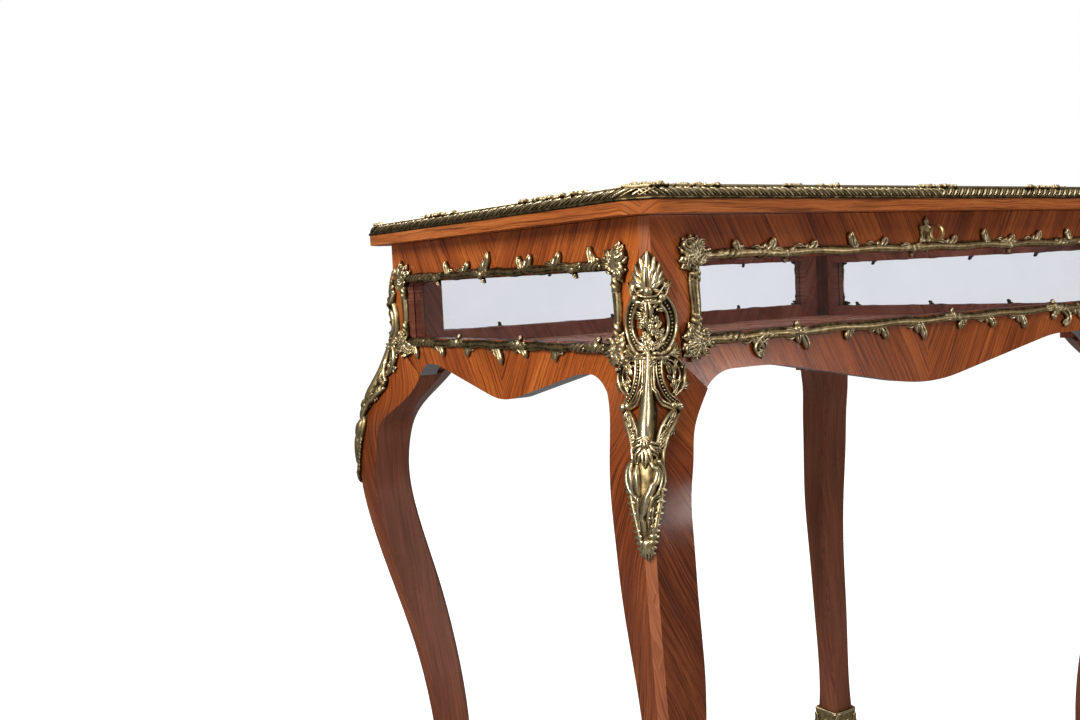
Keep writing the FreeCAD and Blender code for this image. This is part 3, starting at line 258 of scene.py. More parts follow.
def veneer_colour(tree, shader, grain, tones):
    """Polish and pores of a veneer, fed to its shader, and its colour, which is returned."""
    dark = tones[0]
    colour = figure(tree, grain, tones, FACE_STOPS)
    for mark, strength, shade in (("Streaks", 0.72, 0.4), ("Pores", 0.45, 0.3)):
        colour = tree.blend(tree.times(grain[mark], strength), colour,
                            tuple(channel * shade for channel in dark))
    smears = use(tree, WEAR, Place=tree.place(), Scale=14.0)["Smears"]
    tree.feed(shader.inputs["Roughness"], tree.plus(tree.times(smears, 0.1), 0.24))
    height = tree.plus(grain["Fine"], tree.times(grain["Pores"], -0.4))
    tree.feed(shader.inputs["Normal"], tree.bump(height, 0.12, 0.0004))
    return colour


def turned(tree, across, up, sine, cosine):
    """Coordinates along and across a grain that leans from the upright."""
    along = tree.plus(tree.times(across, sine), tree.times(up, cosine))
    side = tree.minus(tree.times(across, cosine), tree.times(up, sine))
    return along, side


def surroundings(tree):
    """The spot, how deep it lies from the middle, and how far its face turns outwards."""
    x, y, z = tree.split(tree.place())
    nx, ny, nz = tree.split(tree.add("ShaderNodeNewGeometry").outputs["True Normal"])
    deep = [tree.math("ABSOLUTE", axis) for axis in (x, y)]
    out = [tree.times(turn, tree.math("SIGN", axis)) for turn, axis in ((nx, x), (ny, y))]
    return (x, y, z), (nx, ny, nz), deep, out


def case_finish():
    """Friezes: grain on the slant, bookmatched at the middle of each side."""
    material, tree, shader = finish("case_veneer_finish", **POLISH)
    (x, y, z), (_, _, nz), (deep_x, deep_y), (out_x, out_y) = surroundings(tree)
    long_side = tree.above(tree.minus(deep_y, HALF_Y * MM), tree.minus(deep_x, HALF_X * MM))
    across = tree.either(long_side, deep_x, deep_y)
    along, side = turned(tree, across, z, math.sin(CASE_LEAN), math.cos(CASE_LEAN))
    # Neighbouring leaves of veneer are set far apart in the figure, so that they differ.
    leaf = tree.times(tree.above(tree.times(x, y), 0.0), 3.7)
    grain = use(tree, GRAIN, Along=tree.merge(along, side, tree.plus(leaf, long_side)))
    colour = veneer_colour(tree, shader, grain, CASE_TONES)
    facing = tree.math("MAXIMUM", tree.times(out_y, long_side),
                       tree.times(out_x, tree.minus(1.0, long_side)))
    inside = tree.math("LESS_THAN", facing, 0.5)
    colour = tree.blend(inside, colour, figure(tree, grain, INNER_TONES, PLAIN_STOPS))
    # Faces that point downwards take a grey that follows the grain's tone, in place of the
    # veneer's colour.
    below = tree.math("LESS_THAN", nz, -0.15)
    underside_grey = tree.ramp(grain["Tone"], (0.3, (0.10, 0.095, 0.10)), (0.7, (0.27, 0.26, 0.27)))
    tree.feed(shader.inputs["Base Color"], tree.blend(below, colour, underside_grey))
    return material


def leg_finish():
    """Legs: slanting bands that meet at a pale upright strip on the arris."""
    material, tree, shader = finish("leg_veneer_finish", **POLISH)
    (x, y, z), (nx, ny, _), (deep_x, deep_y), (out_x, out_y) = surroundings(tree)
    arris = tree.above(tree.math("MINIMUM", out_x, out_y), 0.35)
    outer = tree.above(tree.math("MAXIMUM", out_x, out_y), 0.35)
    front = tree.above(tree.math("ABSOLUTE", ny), tree.math("ABSOLUTE", nx))
    across = tree.either(front, deep_x, deep_y)
    lean = tree.plus(tree.times(front, 0.22), 0.36)
    along, side = turned(tree, across, z, tree.math("SINE", lean), tree.math("COSINE", lean))
    straight, cross = turned(tree, across, z, math.sin(STRIP_LEAN), math.cos(STRIP_LEAN))
    pick = tree.add("ShaderNodeMix", data_type="VECTOR")
    tree.feed(pick.inputs["Factor"], tree.times(outer, tree.minus(1.0, arris)))
    tree.feed(pick.inputs[4],
              tree.merge(straight, cross, tree.times(tree.math("SIGN", y), 5.1)))
    tree.feed(pick.inputs[5], tree.merge(along, side, tree.times(tree.math("SIGN", x), 2.3)))
    grain = use(tree, GRAIN, Along=pick.outputs[1])
    colour = veneer_colour(tree, shader, grain, LEG_TONES)
    # Painted shade in part: below KNEE_FROM the legs keep their darker tones, and up to KNEE_TO
    # they brighten into the case's colour.
    upper = tree.add("ShaderNodeMapRange")
    for socket, source in (("Value", z), ("From Min", KNEE_FROM), ("From Max", KNEE_TO)):
        tree.feed(upper.inputs[socket], source)
    warm = figure(tree, grain, CASE_TONES, FACE_STOPS)
    warm = tree.blend(tree.times(grain["Streaks"], 0.62), warm, (0.08, 0.015, 0.003))
    colour = tree.blend(upper.outputs[0], colour, warm)
    colour = tree.blend(arris, colour, figure(tree, grain, STRIP_TONES, PLAIN_STOPS))
    colour = tree.blend(outer, figure(tree, grain, CORE_TONES, PLAIN_STOPS), colour)
    tree.feed(shader.inputs["Base Color"], colour)
    return material


def lid_finish():
    """Lid rails: grain along each rail, warm on the edge."""
    material, tree, shader = finish("lid_veneer_finish", **POLISH)
    x, y, z = tree.split(tree.place())
    long_side = tree.above(tree.minus(tree.math("ABSOLUTE", y), LID_Y * MM),
                           tree.minus(tree.math("ABSOLUTE", x), LID_X * MM))
    along = tree.either(long_side, x, y)
    across = tree.plus(tree.either(long_side, y, x), z)
    grain = use(tree, GRAIN, Along=tree.merge(along, across, long_side))
    tree.feed(shader.inputs["Base Color"], veneer_colour(tree, shader, grain, LID_TONES))
    return material


def plain_wood(name, tones, **constants):
    """Wood inside the case, its grain along x."""
    material, tree, shader = finish(name, **constants)
    grain = use(tree, GRAIN, Along=tree.place())
    tree.feed(shader.inputs["Base Color"], veneer_colour(tree, shader, grain, tones))
    return material


def gilt_finish(name, bright, middle, dark, low):
    """Aged gilding from the 'tone' attribute: painted highlight on the crests, and in the
    recesses old patina together with painted shade.
    """
    material, tree, shader = finish(name, Metallic=1.0, IOR=1.45)
    place = tree.place()
    tone = tree.add("ShaderNodeAttribute", attribute_name="tone").outputs["Fac"]
    mottle = tree.noise(place, 170.0, 4.0, 0.65)
    specks = tree.noise(place, 900.0, 2.0)
    height = tree.plus(tree.math("MAXIMUM", tone, low),
                       tree.times(tree.minus(mottle, 0.5), 1.1))
    # The tone lifts the crests as painted highlight and darkens the recesses as patina and
    # painted shade.
    tree.feed(shader.inputs["Base Color"],
              tree.ramp(height, (0.2, dark), (0.62, middle), (1.0, bright)))
    tree.feed(shader.inputs["Roughness"],
              tree.ramp(height, (0.1, 0.6), (0.55, 0.43), (0.95, 0.30)))
    pits = tree.plus(mottle, tree.times(specks, 0.4))
    tree.feed(shader.inputs["Normal"], tree.bump(pits, 0.35, 0.0007))
    return material


def plain_metal(name, bright, dark, rough):
    """Turned or rolled metal with fine scratches and dull patches."""
    material, tree, shader = finish(name, Metallic=1.0)
    place = tree.place()
    smears = use(tree, WEAR, Place=place, Scale=60.0)["Smears"]
    tree.feed(shader.inputs["Base Color"], tree.blend(smears, bright, dark))
    tree.feed(shader.inputs["Roughness"], tree.plus(tree.times(smears, 0.2), rough))
    tree.feed(shader.inputs["Normal"], tree.bump(tree.noise(place, 1200.0, 2.0), 0.15, 0.0003))
    return material


def glass_finish():
    """Thin old glass with a light haze."""
    material, tree, shader = finish("glass_finish", IOR=1.45, Transmission_Weight=1.0,
                                    Roughness=0.0)
    place = tree.place()
    smears = use(tree, WEAR, Place=place, Scale=9.0)["Smears"]
    tree.feed(shader.inputs["Base Color"],
              tree.blend(smears, (0.925, 0.935, 0.965), (0.88, 0.895, 0.93)))
    tree.feed(shader.inputs["Normal"], tree.bump(tree.noise(place, 12.0, 1.0), 0.05, 0.001))
    return material


CASE = case_finish()
LEG = leg_finish()
LID = lid_finish()
INNER = plain_wood("inner_wood_finish", INNER_TONES, IOR=1.4, Specular_IOR_Level=0.2)
FLOOR_LINING = plain_wood("floor_veneer_finish", LINING_TONES, IOR=1.3,
                          Specular_IOR_Level=0.06)
GILT = gilt_finish("gilt_brass_finish", (0.95, 0.81, 0.52), (0.52, 0.37, 0.17),
                   (0.055, 0.036, 0.016), 0.12)
GILT_PLAIN = gilt_finish("smooth_gilt_finish", (0.94, 0.80, 0.46), (0.46, 0.34, 0.145),
                         (0.05, 0.036, 0.014), 0.66)
HINGE = plain_metal("hinge_brass_finish", (0.78, 0.58, 0.27), (0.42, 0.30, 0.13), 0.28)
STEEL = plain_metal("lock_steel_finish", (0.62, 0.61, 0.59), (0.28, 0.26, 0.24), 0.3)
GLASS = glass_finish()
# The finish of the solids whose names start so; the first match counts, and the rest are gilt.
SOLID_FINISHES = ((("lid_glass_frame", "keyhole_"), GILT_PLAIN),
                  (("frieze_", "glazing_bead_"), CASE), ("leg_", LEG), ("lid_rail_", LID),
                  (("case_floor", "corner_blocks", "floor_battens"), INNER),
                  ("floor_lining", FLOOR_LINING), (("glass_", "lid_glass"), GLASS),
                  (("hinge_", "key"), HINGE), (("lock_", "link_"), STEEL))


def dress_solids():
    """Give each solid its finish."""
    for name, item in nodes.items():
        coat = next((coat for starts, coat in SOLID_FINISHES if name.startswith(starts)),
                    GILT_PLAIN)
        for place in item.material_slots:
            place.material = coat


# ------------------------------------------------------------------ chased relief
def in_scene(name, data):
    """A new object for a mesh, a lamp or a camera."""
    item = bpy.data.objects.new(name, data)
    bpy.context.scene.collection.objects.link(item)
    return item


def toned_mesh(name, spots, faces, tones):
    """A mesh from points in millimetres, with how bright the gilding is at each of them, as
    painted highlight and shade.
    """
    mesh = bpy.data.meshes.new(name)
    mesh.from_pydata((spots * MM).tolist(), [], faces)
    mesh.attributes.new("tone", "FLOAT", "POINT").data.foreach_set("value", tones)
    return mesh


def smooth(points, steps):
    """A smooth run through rows of numbers, with so many steps from one to the next."""
    rows = np.array(points, float)
    if len(rows) == 2:
        share = np.linspace(0, 1, steps * 2 + 1)[:, None]
        return rows[0] * (1 - share) + rows[1] * share
    before = np.vstack([2 * rows[0] - rows[1], rows[:-1]])
    after = np.vstack([rows[1:], 2 * rows[-1] - rows[-2]])
    slopes = (after - before) / 2
    result = []
    for a, b, da, db in zip(rows[:-1], rows[1:], slopes[:-1], slopes[1:]):
        t = np.linspace(0, 1, steps, endpoint=False)[:, None]
        result.append((2 * t**3 - 3 * t**2 + 1) * a + (t**3 - 2 * t**2 + t) * da
                      + (-2 * t**3 + 3 * t**2) * b + (t**3 - t**2) * db)
    return np.vstack(result + [rows[-1:]])


# Cross-sections over the surface: (sideways, up, tone), both as shares of the half width
# and the height; the tone is painted highlight on the crests and painted shade at the feet.
SECTIONS = {
    "round": [(math.cos(a), math.sin(a), 0.15 + 0.85 * math.sin(a) ** 1.5)
              for a in np.linspace(0, math.pi, 9)],
    "leaf": [(1, 0, 0.1), (0.86, 0.55, 0.6), (0.5, 0.95, 1), (0.16, 0.8, 0.5), (0, 0.5, 0.0),
             (-0.16, 0.8, 0.5), (-0.5, 0.95, 1), (-0.86, 0.55, 0.6), (-1, 0, 0.1)],
    "scroll": [(1, 0, 0.1), (0.93, 0.8, 0.8), (0.7, 1, 1), (0.45, 0.72, 0.3), (0, 0.5, 0.1),
               (-0.45, 0.72, 0.3), (-0.7, 1, 1), (-0.93, 0.8, 0.8), (-1, 0, 0.1)],
    "twig": [(1, 0, 0.1), (0.93, 0.5, 0.55), (0.66, 0.86, 0.9), (0.36, 0.84, 0.4), (0.05, 1, 1),
             (-0.34, 0.93, 0.75), (-0.62, 0.66, 0.2), (-0.9, 0.5, 0.55), (-1, 0, 0.1)],
    "reed": [(1, 0, 0.1), (0.92, 0.45, 0.8), (0.72, 0.5, 0.2), (0.55, 0.85, 0.95),
             (0.3, 0.78, 0.2), (0, 1, 1), (-0.3, 0.78, 0.2), (-0.55, 0.85, 0.95),
             (-0.72, 0.5, 0.2), (-0.92, 0.45, 0.8), (-1, 0, 0.1)],
}


BOX_MARGIN = 3.0                       # how near the solids' box brass starts to be eased in
STROKE_ROOT, SHEET_ROOT = 1.0, 1.2     # how deep their undersides are sunk


def contained(spots):
    """Ease what stands proud of the whole object's box back inside it."""
    low, high = np.array(cad_box) / MM
    over = np.maximum(spots - high + BOX_MARGIN, 0.0)
    under = np.maximum(low + BOX_MARGIN - spots, 0.0)
    return (spots - over + BOX_MARGIN * (1 - np.exp(-over / BOX_MARGIN))
            + under - BOX_MARGIN * (1 - np.exp(-under / BOX_MARGIN)))


def turn_way(degrees):
    """A step of length 1 at an angle from the upright, as (out, rise)."""
    return math.sin(math.radians(degrees)), math.cos(math.radians(degrees))


class Relief:
    """Chased brass, built stroke by stroke over a surface.

    lay(s, z) gives the point of the surface that a spot of the pattern falls on, and the way
    up from it.
    """

    def __init__(self, lay):
        self.lay = lay
        self.spots, self.faces, self.tones = [], [], []
        self.count = 0

    def add(self, spots, faces, tones):
        self.spots.append(np.asarray(spots, float))
        self.faces += [[index + self.count for index in face] for face in faces]
        self.tones += list(tones)
        self.count += len(spots)

    def stroke(self, points, section="round", steps=5, twist=0.0, lobes=0, notch=0.0,
               glow=1.0):
        """A tapering stroke through rows of (s, z, half width, height, lift).

        It can be twisted like a rope, banding its tones with painted highlight and shade, or
        notched into lobes; glow dulls its tones, which are painted highlight and shade.
        """
        rows = smooth([tuple(row) + (0.0,) * (5 - len(row)) for row in points], steps)
        bases, ups = zip(*(self.lay(row[0], row[1]) for row in rows))
        bases, ups = np.array(bases), np.array(ups)
        ways = np.gradient(bases, axis=0)
        sides = np.cross(ways, ups)
        sides /= np.maximum(np.linalg.norm(sides, axis=1), 1e-9)[:, None]
        shape = SECTIONS[section]
        ring = len(shape) + 2
        spots, tones = [], []
        run = np.linspace(0, 1, len(rows))
        for base, up, side, row, share in zip(bases, ups, sides, rows, run):
            width, height, lift = max(row[2], 0.02), max(row[3], 0.02), row[4]
            if lobes:
                width *= 1 + notch * math.sin(2 * math.pi * lobes * share)
                height *= 1 + 0.5 * notch * math.sin(2 * math.pi * lobes * share)
            for across, rise, tone in shape:
                # A twist bands the tones along the rope: painted highlight and painted shade.
                if twist:
                    wave = math.cos(math.pi * 1.5 * across + 2 * math.pi * twist * share)
                    rise = rise * (1 + 0.16 * wave)
                    tone = tone * (0.62 + 0.38 * wave)
                spots.append(base + side * across * width + up * (lift + rise * height))
                tones.append(min(tone * glow, 1.0))
            # The sunk feet are toned 0: painted shade where the stroke meets the surface.
            for across in (-0.8, 0.8):
                spots.append(base + side * across * width + up * min(lift - STROKE_ROOT, 0.0))
                tones.append(0.0)
        faces = []
        for row in range(len(rows) - 1):
            for index in range(ring):
                a = row * ring + index
                b = row * ring + (index + 1) % ring
                faces.append((a, b, b + ring, a + ring))
        last = (len(rows) - 1) * ring
        faces.append(tuple(range(ring - 1, -1, -1)))
        faces.append(tuple(range(last, last + ring)))
        self.add(spots, faces, tones)

    def leaf(self, s, z, way, rows, steps, **cut):
        """A leaf straight out from a spot: rows of (distance, half width, height, lift)."""
        self.stroke([(s + way[0] * far, z + way[1] * far, *row) for far, *row in rows],
                    "leaf", steps, **cut)

    def sheet(self, grid, wrap=False):
        """A closed skin over the surface through rows of (s, z, lift, tone)."""
        count, wide = len(grid), len(grid[0])
        top, under, tones = [], [], []
        for line in grid:
            for s, z, lift, tone in line:
                base, up = self.lay(s, z)
                top.append(base + up * lift)
                under.append(base - up * SHEET_ROOT)
                tones.append(tone)
        area = count * wide
        faces = []
        for i in range(count if wrap else count - 1):
            j = (i + 1) % count
            for k in range(wide - 1):
                a, b, c, d = i * wide + k, i * wide + k + 1, j * wide + k + 1, j * wide + k
                faces += [(a, b, c, d), (a + area, d + area, c + area, b + area)]
            for k, turn in ((0, 1), (wide - 1, -1)):
                rim = (i * wide + k, j * wide + k, j * wide + k + area, i * wide + k + area)
                faces.append(rim[::turn])
        if not wrap:
            for i, turn in ((0, -1), (count - 1, 1)):
                for k in range(wide - 1):
                    a = i * wide + k
                    faces.append((a, a + 1, a + 1 + area, a + area)[::turn])
        # The sunk underside is toned 0: painted shade along the rims.
        self.add(top + under, faces, tones + [0.0] * area)

    def plate(self, rows, tone, ripple=0.0):
        """A domed plate draped over the surface: rows of (z, left, right, height)."""
        grid = []
        for number, (z, left, right, height) in enumerate(smooth(rows, 4)):
            line = []
            for share in np.linspace(0, 1, 9):
                # The tone follows the dome: painted highlight along its crown and painted shade
                # at its rims; the low tones given to backing plates darken them as painted shade
                # under the strokes.
                dome = 0.35 + 0.65 * math.sin(math.pi * share) ** 0.6
                wave = ripple * math.sin(number * 2.1) * math.cos(share * 9 + number)
                line.append((left + (right - left) * share, z, height * dome + wave,
                             tone * (0.4 + 0.6 * dome)))
            grid.append(line)
        self.sheet(grid)

    def moulded_ring(self, s, z, wide, tall, profile):
        """An oval moulding: the profile is rows of (offset outwards, lift, tone), the tone being
        painted highlight and shade.
        """
        self.sheet([[(s + (wide + out) * math.sin(t), z + (tall + out) * math.cos(t), lift, tone)
                     for out, lift, tone in profile]
                    for t in np.linspace(0, 2 * math.pi, 40, endpoint=False)], wrap=True)

    def foliage(self, rows, count, seed, reach, lift, height=3.2, droop=0.0):
        """Small overlapping leaves scattered over a band: rows of (z, left, right).

        They point outwards and up; a droop in degrees turns them round.
        """
        chance = np.random.default_rng(seed)
        line = smooth(rows, 6)
        for number in range(count):
            z, left, right = line[int(number * (len(line) - 1) / max(count - 1, 1))]
            share = chance.uniform(0.12, 0.88)
            s = left + (right - left) * share
            way = turn_way((share - 0.5) * 190 + chance.uniform(-35, 35) + droop)
            length = reach * chance.uniform(0.7, 1.25)
            width = length * 0.26
            base = lift * chance.uniform(0.6, 1.1)
            self.leaf(s, z, way, [(length * -0.3, width * 0.5, height * 0.7, base),
                                  (length * 0.15, width, height, base),
                                  (length * 0.5, width * 0.8, height * 0.75, base + 0.6),
                                  (length * 0.75, 0.3, 0.8, base + 0.4)], 2)

    def ball(self, s, z, radius, lift=0.0, squash=1.0):
        """A round boss whose middle sits at the lift."""
        base, up = self.lay(s, z)
        side = np.cross(up, (0.12, 0.31, 0.94))    # any way that is never straight up
        side /= np.linalg.norm(side)
        other = np.cross(up, side)
        sides, layers = 8, (0.5, 1.0, 1.6, 2.3)    # each layer's angle from the way up
        high = radius * squash
        # The boss is toned 1 at the top and 0 underneath: painted highlight above and painted
        # shade below.
        spots, tones, faces = [base + up * (lift + high)], [1.0], []
        for angle in layers:
            for step in range(sides):
                turn = step * 2 * math.pi / sides
                out = (side * math.cos(turn) + other * math.sin(turn)) * math.sin(angle)
                spots.append(base + out * radius + up * (lift + high * math.cos(angle)))
                tones.append(max(math.cos(angle), 0.0) * 0.8 + 0.1)
        spots.append(base + up * (lift - high))
        tones.append(0.0)
        starts = [1 + sides * layer for layer in range(len(layers))]
        for step in range(sides):
            after = (step + 1) % sides
            faces.append((0, 1 + step, 1 + after))
            faces += [(a + step, b + step, b + after, a + after)
                      for a, b in zip(starts, starts[1:])]
            faces.append((starts[-1] + step, len(spots) - 1, starts[-1] + after))
        self.add(spots, faces, tones)

    def fan(self, s, z, reach, count, start, stop, width, height, lift=0.0, curl=1.0):
        """Leaf lobes that spread from one spot; angles from the upright, in degrees."""
        for index in range(count):
            share = index / max(count - 1, 1)
            length = reach * (1 - 0.22 * abs(2 * share - 1))
            self.leaf(s, z, turn_way(start + (stop - start) * share), [
                (0.0, width * 0.45, height * 0.7, lift), (length * 0.4, width, height, lift),
                (length * 0.78, width * 0.75, height * 0.7, lift + curl * 0.5),
                (length, 0.25, 0.5, lift + curl)], 3)

    def rosette(self, s, z, radius, petals, lift=0.0, turn=0.0):
        """A small flower."""
        self.fan(s, z, radius, petals, turn, turn + 360 - 360 / petals, radius * 0.36,
                 radius * 0.4, lift, radius * 0.15)
        self.ball(s, z, radius * 0.3, lift + radius * 0.42, 0.8)

    def build(self, name, body, replaced):
        """The finished object, gilt, pointing outwards and riding on a body."""
        mesh = toned_mesh(name, contained(np.vstack(self.spots)), self.faces, self.tones)
        work = bmesh.new()
        work.from_mesh(mesh)
        bmesh.ops.recalc_face_normals(work, faces=work.faces)
        work.to_mesh(mesh)
        work.free()
        mesh.shade_smooth()
        mesh.materials.append(GILT)
        item = in_scene(name, mesh)
        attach(item, body)
        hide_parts(*replaced)
        return item


def tree_of(names):
    """A search tree over the meshes of several nodes, in millimetres."""
    spots, faces = [], []
    for name in names:
        mesh = nodes[name].data
        start = len(spots)
        world = nodes[name].matrix_world
        spots += [world @ vertex.co / MM for vertex in mesh.vertices]
        faces += [[start + index for index in face.vertices] for face in mesh.polygons]
    return BVHTree.FromPolygons(spots, faces)


# ------------------------------------------------------------------ repeats along a path
def path_through(points, ups):
    """A mesh path through points in millimetres, with the way up at each of them."""
    mesh = bpy.data.meshes.new("path")
    mesh.from_pydata((np.asarray(points) * MM).tolist(),
                     [(i, i + 1) for i in range(len(points) - 1)], [])
    way = mesh.attributes.new("way_up", "FLOAT_VECTOR", "POINT")
    way.data.foreach_set("vector", np.asarray(ups, float).ravel())
    return in_scene("path", mesh)


def repeat_tree():
    """Geometry nodes that set a small shape at even steps along a path."""
    tree = bpy.data.node_groups.new("repeat_along_path", "GeometryNodeTree")
    for label, kind in (("Path", "Geometry"), ("Shape", "Object"), ("Step", "Float"),
                        ("Size", "Float"), ("Unevenness", "Float"), ("Seed", "Int"),
                        ("Finish", "Material")):
        tree.interface.new_socket(label, in_out="INPUT", socket_type=f"NodeSocket{kind}")
    tree.interface.new_socket("Pieces", in_out="OUTPUT", socket_type="NodeSocketGeometry")
    build = Nodes(tree)
    given = build.add("NodeGroupInput").outputs

    def step(kind, inputs, **settings):
        """Add a node and feed its inputs by their names."""
        node = build.add(kind, **settings)
        for name, source in inputs.items():
            build.feed(node.inputs[name], source)
        return node.outputs

    def plain(sockets):
        """The sockets for plain numbers; the node has others for other kinds of data."""
        return [socket for socket in sockets if socket.type == "VALUE"]

    curve = step("GeometryNodeMeshToCurve", {"Mesh": given["Path"]})["Curve"]
    even = step("GeometryNodeResampleCurve", {"Curve": curve, "Length": given["Step"]},
                mode="LENGTH")["Curve"]
    tangent = step("GeometryNodeInputTangent", {})[0]
    along = step("FunctionNodeAlignRotationToVector", {"Vector": tangent}, axis="X")[0]
    upward = step("GeometryNodeInputNamedAttribute", {"Name": "way_up"},
                  data_type="FLOAT_VECTOR")[0]
    stood = step("FunctionNodeAlignRotationToVector", {"Vector": upward, "Rotation": along},
                 axis="Z", pivot_axis="X")[0]
    spread = build.add("FunctionNodeRandomValue", data_type="FLOAT")
    lowest, highest = plain(spread.inputs)[:2]
    build.feed(lowest, build.minus(1.0, given["Unevenness"]))
    build.feed(highest, build.plus(1.0, given["Unevenness"]))
    build.feed(spread.inputs["Seed"], given["Seed"])
    size = build.times(plain(spread.outputs)[0], given["Size"])
    shape = step("GeometryNodeObjectInfo", {"Object": given["Shape"]})["Geometry"]
    copies = step("GeometryNodeInstanceOnPoints",
                  {"Points": even, "Instance": shape, "Rotation": stood, "Scale": size})[0]
    real = step("GeometryNodeRealizeInstances", {"Geometry": copies})[0]
    painted = step("GeometryNodeSetMaterial", {"Geometry": real, "Material": given["Finish"]})[0]
    build.feed(build.add("NodeGroupOutput").inputs[0], painted)
    return tree


REPEAT = repeat_tree()


def repeat(path, shape, step, size, unevenness, seed):
    """Points, faces and tones of a shape repeated along a path, which then goes."""
    modifier = path.modifiers.new("repeat", "NODES")
    modifier.node_group = REPEAT
    values = {"Shape": shape, "Step": step * MM, "Size": size, "Unevenness": unevenness,
              "Seed": seed, "Finish": GILT}
    for socket in REPEAT.interface.items_tree:
        if socket.in_out == "INPUT" and socket.name in values:
            modifier[socket.identifier] = values[socket.name]
    bpy.context.view_layer.update()
    graph = bpy.context.evaluated_depsgraph_get()
    mesh = bpy.data.meshes.new_from_object(path.evaluated_get(graph))
    spots = np.empty(len(mesh.vertices) * 3)
    mesh.vertices.foreach_get("co", spots)
    tones = np.empty(len(mesh.vertices))
    mesh.attributes["tone"].data.foreach_get("value", tones)
    faces = [tuple(face.vertices) for face in mesh.polygons]
    bpy.data.objects.remove(path)
    bpy.data.meshes.remove(mesh)
    return spots.reshape(-1, 3) / MM, faces, tones


def level_lay(height):
    """How a pattern lies on a level surface: s is x and z is y."""
    def lay(s, z):
        return np.array((s, z, height)), np.array((0.0, 0.0, 1.0))

    return lay


PATTERNS = []                          # small shapes to repeat; they go at the end


def template(draw):
    """A small shape to repeat, drawn flat with x along the path."""
    relief = Relief(level_lay(0.0))
    draw(relief)
    PATTERNS.append(in_scene("pattern", toned_mesh("pattern", np.vstack(relief.spots),
                                                   relief.faces, relief.tones)))
    return PATTERNS[-1]


def row(relief, points, shape, step, lift, size=1.0, unevenness=0.0, seed=1):
    """Repeat a shape along a path that is laid over a relief's surface."""
    bases, ups = zip(*(relief.lay(s, z) for s, z in smooth(points, 6)))
    bases, ups = np.array(bases), np.array(ups)
    path = path_through(bases + ups * lift, ups)
    relief.add(*repeat(path, shape, step, size, unevenness, seed))


def gadroon(way):
    """One slanting lobe of a gadrooned edge, leaning one way or the other."""
    return template(lambda shape: shape.stroke(
        [(0, -2.2 * way, 0.5, 0.6), (0.2, -0.6 * way, 1.15, 1.6), (0.5, 1.2 * way, 1.2, 1.6),
         (1.1, 2.6 * way, 0.4, 0.5)], "round", 2))


BEAD = template(lambda shape: shape.ball(0, 0, 1.25, 0.3))
GADROONS = {-1: gadroon(1), 1: gadroon(-1)}    # for the mount's left and right edges


# ------------------------------------------------------------------ knee mounts
MID = 2                                # s of the middle of the mount's upper half
SHELL_Z = 689                          # the height that the shell's lobes spread from
RING_Z, RING_WIDE, RING_TALL = 660.0, 23.0, 23.5    # the cartouche
BACK_SHARE = 0.6                       # the back mounts' far halves are this much narrower


def corner_lay(corner):
    """How the corner mount's pattern lies on a leg: s is 0 on the arris."""
    sx, sy = CORNERS[corner]
    surface = tree_of([f"leg_{corner}"])
    outward = Vector((sx, sy, 0)).normalized()
    across = Vector((-sx, sy, 0)).normalized()
    share = BACK_SHARE if sy > 0 else 1.0
    origin = Vector((sx * HALF_X, sy * HALF_Y, 0))

    def lay(s, z):
        s *= share if s < 0 else 1.0
        level = origin + across * (s / math.sqrt(2)) + Vector((0, 0, z))
        spot, normal = surface.ray_cast(level + outward * 200, -outward)[:2]
        if spot is None:
            spot, normal = level, outward
        up = (normal + outward * 1.2).normalized()
        return np.array(spot), np.array(up)

    return lay


def palmette(brass):
    """The shell of leaves at the head of a mount."""
    brass.plate([(687, -8, 11, 3), (692, -15, 18, 3), (699, -15.5, 18, 3), (706, -12.5, 15, 2.8),
                 (713, -7, 10, 2.4), (719, 0, 4, 1.4)], tone=0.2)
    for end_s, end_z, width in ((-17, 697, 3.2), (18.5, 697, 3.4), (-15.5, 703, 3.2),
                                (17.5, 703.5, 3.4), (-11.5, 709, 3.0), (14, 710, 3.2),
                                (-6, 714.5, 2.8), (9, 715, 2.8), (2, 719.5, 3.0)):
        out, rise = end_s - MID, end_z - SHELL_Z
        brass.stroke([(MID + out * 0.2, 688, 2.0, 5.5),
                      (MID + out * 0.6, SHELL_Z + rise * 0.5, width, 6.4),
                      (MID + out * 0.9, SHELL_Z + rise * 0.85, width * 0.85, 4.6),
                      (end_s, end_z, 0.9, 2.2, 0.8)], "round", 4)
    brass.stroke([(2, 687, 4.0, 8), (2, 695, 4.6, 8.4), (2, 704, 3.6, 7), (2, 711, 2, 5),
                  (2, 716, 0.8, 3)], "leaf", 4)
    brass.ball(2, 686.5, 4.8, 6)


